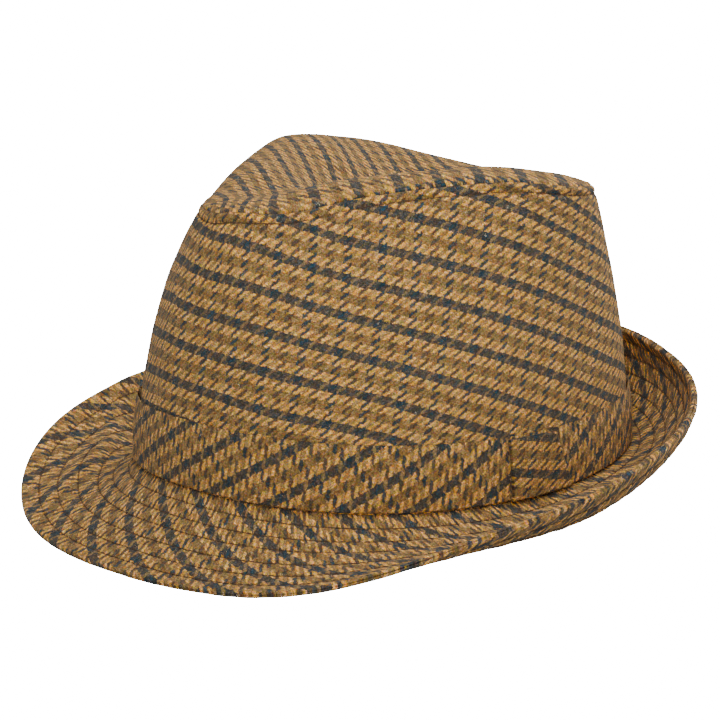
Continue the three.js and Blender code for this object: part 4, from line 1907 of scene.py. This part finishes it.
@dataclass
class Studio:
    """Pale floor, soft light and the camera at the angle of the photograph.

    Attributes:
        half_floor: half the side of the floor, in metres.
        floor_drop: how far the floor lies under the hat, so that no faces share a plane.
        floor_glow: strength that makes the floor white where the camera sees it.
        surroundings: strength of the white surroundings.
        lamps: key from beside the camera, fill and back from the right, low and top lights.
        turn_deg: turn of the camera from the front toward the wearer's left.
        lift_deg: how far the camera looks down.
        roll_deg: roll of the camera.
        distance: distance of the camera from the middle of the hat, in millimetres.
        focal_px: focal length in pixels of the frame.
        frame_px: width of the frame in pixels.
        sensor: width of the sensor, in millimetres.
        middle: height of the middle of the hat over its head oval.
        aside: how far left of the middle the camera aims.
        below: how far under it the camera aims.
    """

    half_floor: float = 4.0
    floor_drop: float = 0.0002
    floor_glow: float = 60.0
    surroundings: float = 0.24
    lamps: tuple[Lamp, ...] = (
        Lamp("key", (1.33, -1.15, 1.35), 0.06, 0.8, 17.0),
        Lamp("fill", (1.25, 1.55, 0.8), 0.06, 1.0, 6.0),
        Lamp("low", (1.30, -1.30, 0.35), 0.03, 1.0, 5.8),
        Lamp("top", (0.4, -0.2, 1.7), 0.06, 1.0, 13.0),
        Lamp("back", (0.0, 1.8, 1.0), 0.06, 1.2, 16.0),
    )
    turn_deg: float = 48.0
    lift_deg: float = 13.756
    roll_deg: float = 2.017
    distance: float = 1351.0
    focal_px: float = 3357.0
    frame_px: float = 720.0
    sensor: float = 36.0
    middle: float = 57.9
    aside: float = 8.19
    below: float = 20.9

    def floor(self) -> bpy.types.Object:
        """Lays a wide plain floor just under the hat; half of what the camera sees of it glows.

        Returns:
            The new object.
        """
        signs = np.array([[-1.0, -1.0], [1.0, -1.0], [1.0, 1.0], [-1.0, 1.0]])
        corners = np.column_stack([signs * self.half_floor, np.full(4, -self.floor_drop)])
        quad = np.array([[0, 1, 2, 3]])
        obj = mesh_object("floor", corners, [(quad, quad)], smooth=False)
        g = Graph("floor_white")
        diffuse = g.node("ShaderNodeBsdfDiffuse", {}, {"Color": (0.50, 0.50, 0.50, 1.0)})
        glow = g.node("ShaderNodeEmission", {}, {"Color": (1.0, 1.0, 1.0, 1.0),
                                                 "Strength": self.floor_glow})
        seen = g.node("ShaderNodeLightPath", {}, {}, "Is Camera Ray")
        both = g.node("ShaderNodeMixShader", {}, {0: seen * 0.5, 1: diffuse, 2: glow})
        obj.data.materials.append(g.finish(both))
        return obj

    def hang(self, lamp: Lamp) -> None:
        """Adds an area light that looks at its point over the origin.

        Args:
            lamp: place, size and power of the light.
        """
        light = bpy.data.lights.new(lamp.name, "AREA")
        light.shape = "SQUARE"
        light.size = lamp.size
        light.energy = lamp.power
        obj = bpy.data.objects.new(lamp.name, light)
        obj.location = lamp.place
        ahead = Vector((0.0, 0.0, lamp.height)) - Vector(lamp.place)
        obj.rotation_euler = ahead.to_track_quat("-Z", "Y").to_euler()
        bpy.context.scene.collection.objects.link(obj)

    def lights(self) -> None:
        """Hangs the lamps in white surroundings."""
        for lamp in self.lamps:
            self.hang(lamp)
        world = bpy.data.worlds.new("surroundings")
        world.use_nodes = True
        shade = world.node_tree.nodes["Background"]
        shade.inputs["Color"].default_value = (1.0, 1.0, 1.0, 1.0)
        shade.inputs["Strength"].default_value = self.surroundings
        bpy.context.scene.world = world

    def camera(self) -> None:
        """Long lens that sees the hat from its front left, a little from above."""
        turn, lift, roll = (math.radians(a) for a in (self.turn_deg, self.lift_deg, self.roll_deg))
        away = np.array([math.sin(turn) * math.cos(lift), -math.cos(turn) * math.cos(lift),
                         math.sin(lift)])
        right = np.array([math.cos(turn), math.sin(turn), 0.0])
        up = np.cross(away, right)
        centre = np.array([0.0, 0.0, self.middle])
        eye = centre + self.distance * away
        seen = centre - self.aside * right - self.below * up
        back = (eye - seen) / np.linalg.norm(eye - seen)
        screen_right = math.cos(roll) * right - math.sin(roll) * up
        screen_up = np.cross(back, screen_right)
        screen_up /= np.linalg.norm(screen_up)
        screen_right = np.cross(screen_up, back)
        data = bpy.data.cameras.new("camera")
        data.sensor_width = self.sensor
        data.lens = self.focal_px / self.frame_px * self.sensor
        data.clip_end = 50.0
        obj = bpy.data.objects.new("camera", data)
        axes = Matrix([PLACE.direction(a) for a in (screen_right, screen_up, back)]).transposed()
        obj.matrix_world = Matrix.Translation(Vector(PLACE.world(eye))) @ axes.to_4x4()
        bpy.context.scene.collection.objects.link(obj)
        bpy.context.scene.camera = obj


TRACK_SECTIONS = 1440


def stitch_tracks(brim: Brim, face: BrimFace, sunk: float = 0.56) -> list[Track]:
    """Lines of the stitch rows on one face of the brim, with the way out of the cloth.

    Args:
        brim: the brim with its rows.
        face: face on which the stitches lie.
        sunk: depth of the thread under the smooth face, at the bottom of its furrow.

    Returns:
        Points and outward normals of each row.
    """
    phi = sections(TRACK_SECTIONS)
    upper = face is BrimFace.UPPER
    beside = 0.01
    tracks = []
    for share in brim.stitch_rows:
        rows = np.array([share - beside, share, share + beside])
        depth = np.full(3, sunk if upper else CLOTH.brim - sunk)
        points = FORM.resting_brim(phi, rows, depth)
        along = np.roll(points[:, 1], -1, axis=0) - np.roll(points[:, 1], 1, axis=0)
        normal = np.cross(along, points[:, 0] - points[:, 2]) * (1.0 if upper else -1.0)
        tracks.append((points[:, 1], normal / np.linalg.norm(normal, axis=-1, keepdims=True)))
    return tracks


def crown_tracks(wall: CrownWall, sunk: float = 0.60) -> list[Track]:
    """Line of the topstitch under the tip seam, at the bottom of its furrow, with its normals.

    Args:
        wall: crown wall whose seam the stitches follow.
        sunk: depth of the thread under the smooth wall.

    Returns:
        Points and outward normals of the one row.
    """
    phi = sections(TRACK_SECTIONS)
    height = 1.0 - wall.stitch_below / seam_run(FORM.wall_point, phi)
    normal = surface_normal(FORM.wall_point, phi, height)
    return [(FORM.wall_point(phi, height) - sunk * normal, normal)]


def report(piece: bpy.types.Object) -> None:
    """Logs a finished piece with its number of triangles."""
    sizes = np.empty(len(piece.data.polygons), dtype=np.int32)
    piece.data.polygons.foreach_get("loop_total", sizes)
    log.info("%s: %d triangles", piece.name, int((sizes - 2).sum()))


def main() -> None:
    """Builds the pieces in order and reports each one."""
    logging.basicConfig(level=logging.INFO, format="%(message)s")
    tweed = TweedFinish("tweed_crown", tone=0.97, contrast=0.88).build()
    bias = TweedFinish("tweed_bias", tone=0.88, seed=40.0, contrast=0.92, packed=0.24).build()
    tab = TweedFinish("tweed_tab", tone=0.84, seed=60.0, contrast=0.95).build()
    # The brim's tone is set lower to match how dark the brim looks, so it is partly the cloth's tone
    # and partly painted shade.
    brim_tweed = TweedFinish("tweed_brim", tone=0.90, seed=80.0, contrast=0.98, packed=0.24).build()
    thread = ThreadFinish().build()
    fibres = FibreFinish().build()
    brim, wall, nap, stitching = Brim(), CrownWall(), Nap(), Stitching()
    side, top = wall.build(tweed), CrownTip().build(tweed)
    strip, loop = Band().build(bias), BandTab().build(tab)
    upper, under = (brim.build(face, brim_tweed) for face in BrimFace)
    crown_nap = [(side, 7000), (top, 5800), (strip, 2900), (loop, 300)]
    brim_nap = [(upper, 7000), (under, 5500)]
    upper_rows, under_rows = (stitch_tracks(brim, face) for face in BrimFace)
    for piece in (side, top, strip, loop, upper, under,
                  nap.cover("nap_crown", crown_nap, 21, fibres, Slot.TWEED),
                  nap.cover("nap_brim", brim_nap, 22, fibres, Slot.BRIM),
                  stitching.rods("stitches_upper", upper_rows, thread, Slot.BRIM),
                  stitching.rods("stitches_under", under_rows, thread, Slot.BRIM),
                  stitching.rods("stitches_crown", crown_tracks(wall), thread, Slot.TWEED)):
        report(piece)
    studio = Studio()
    studio.floor()
    studio.lights()
    studio.camera()
    bpy.context.view_layer.update()


if __name__ == "__main__":
    main()
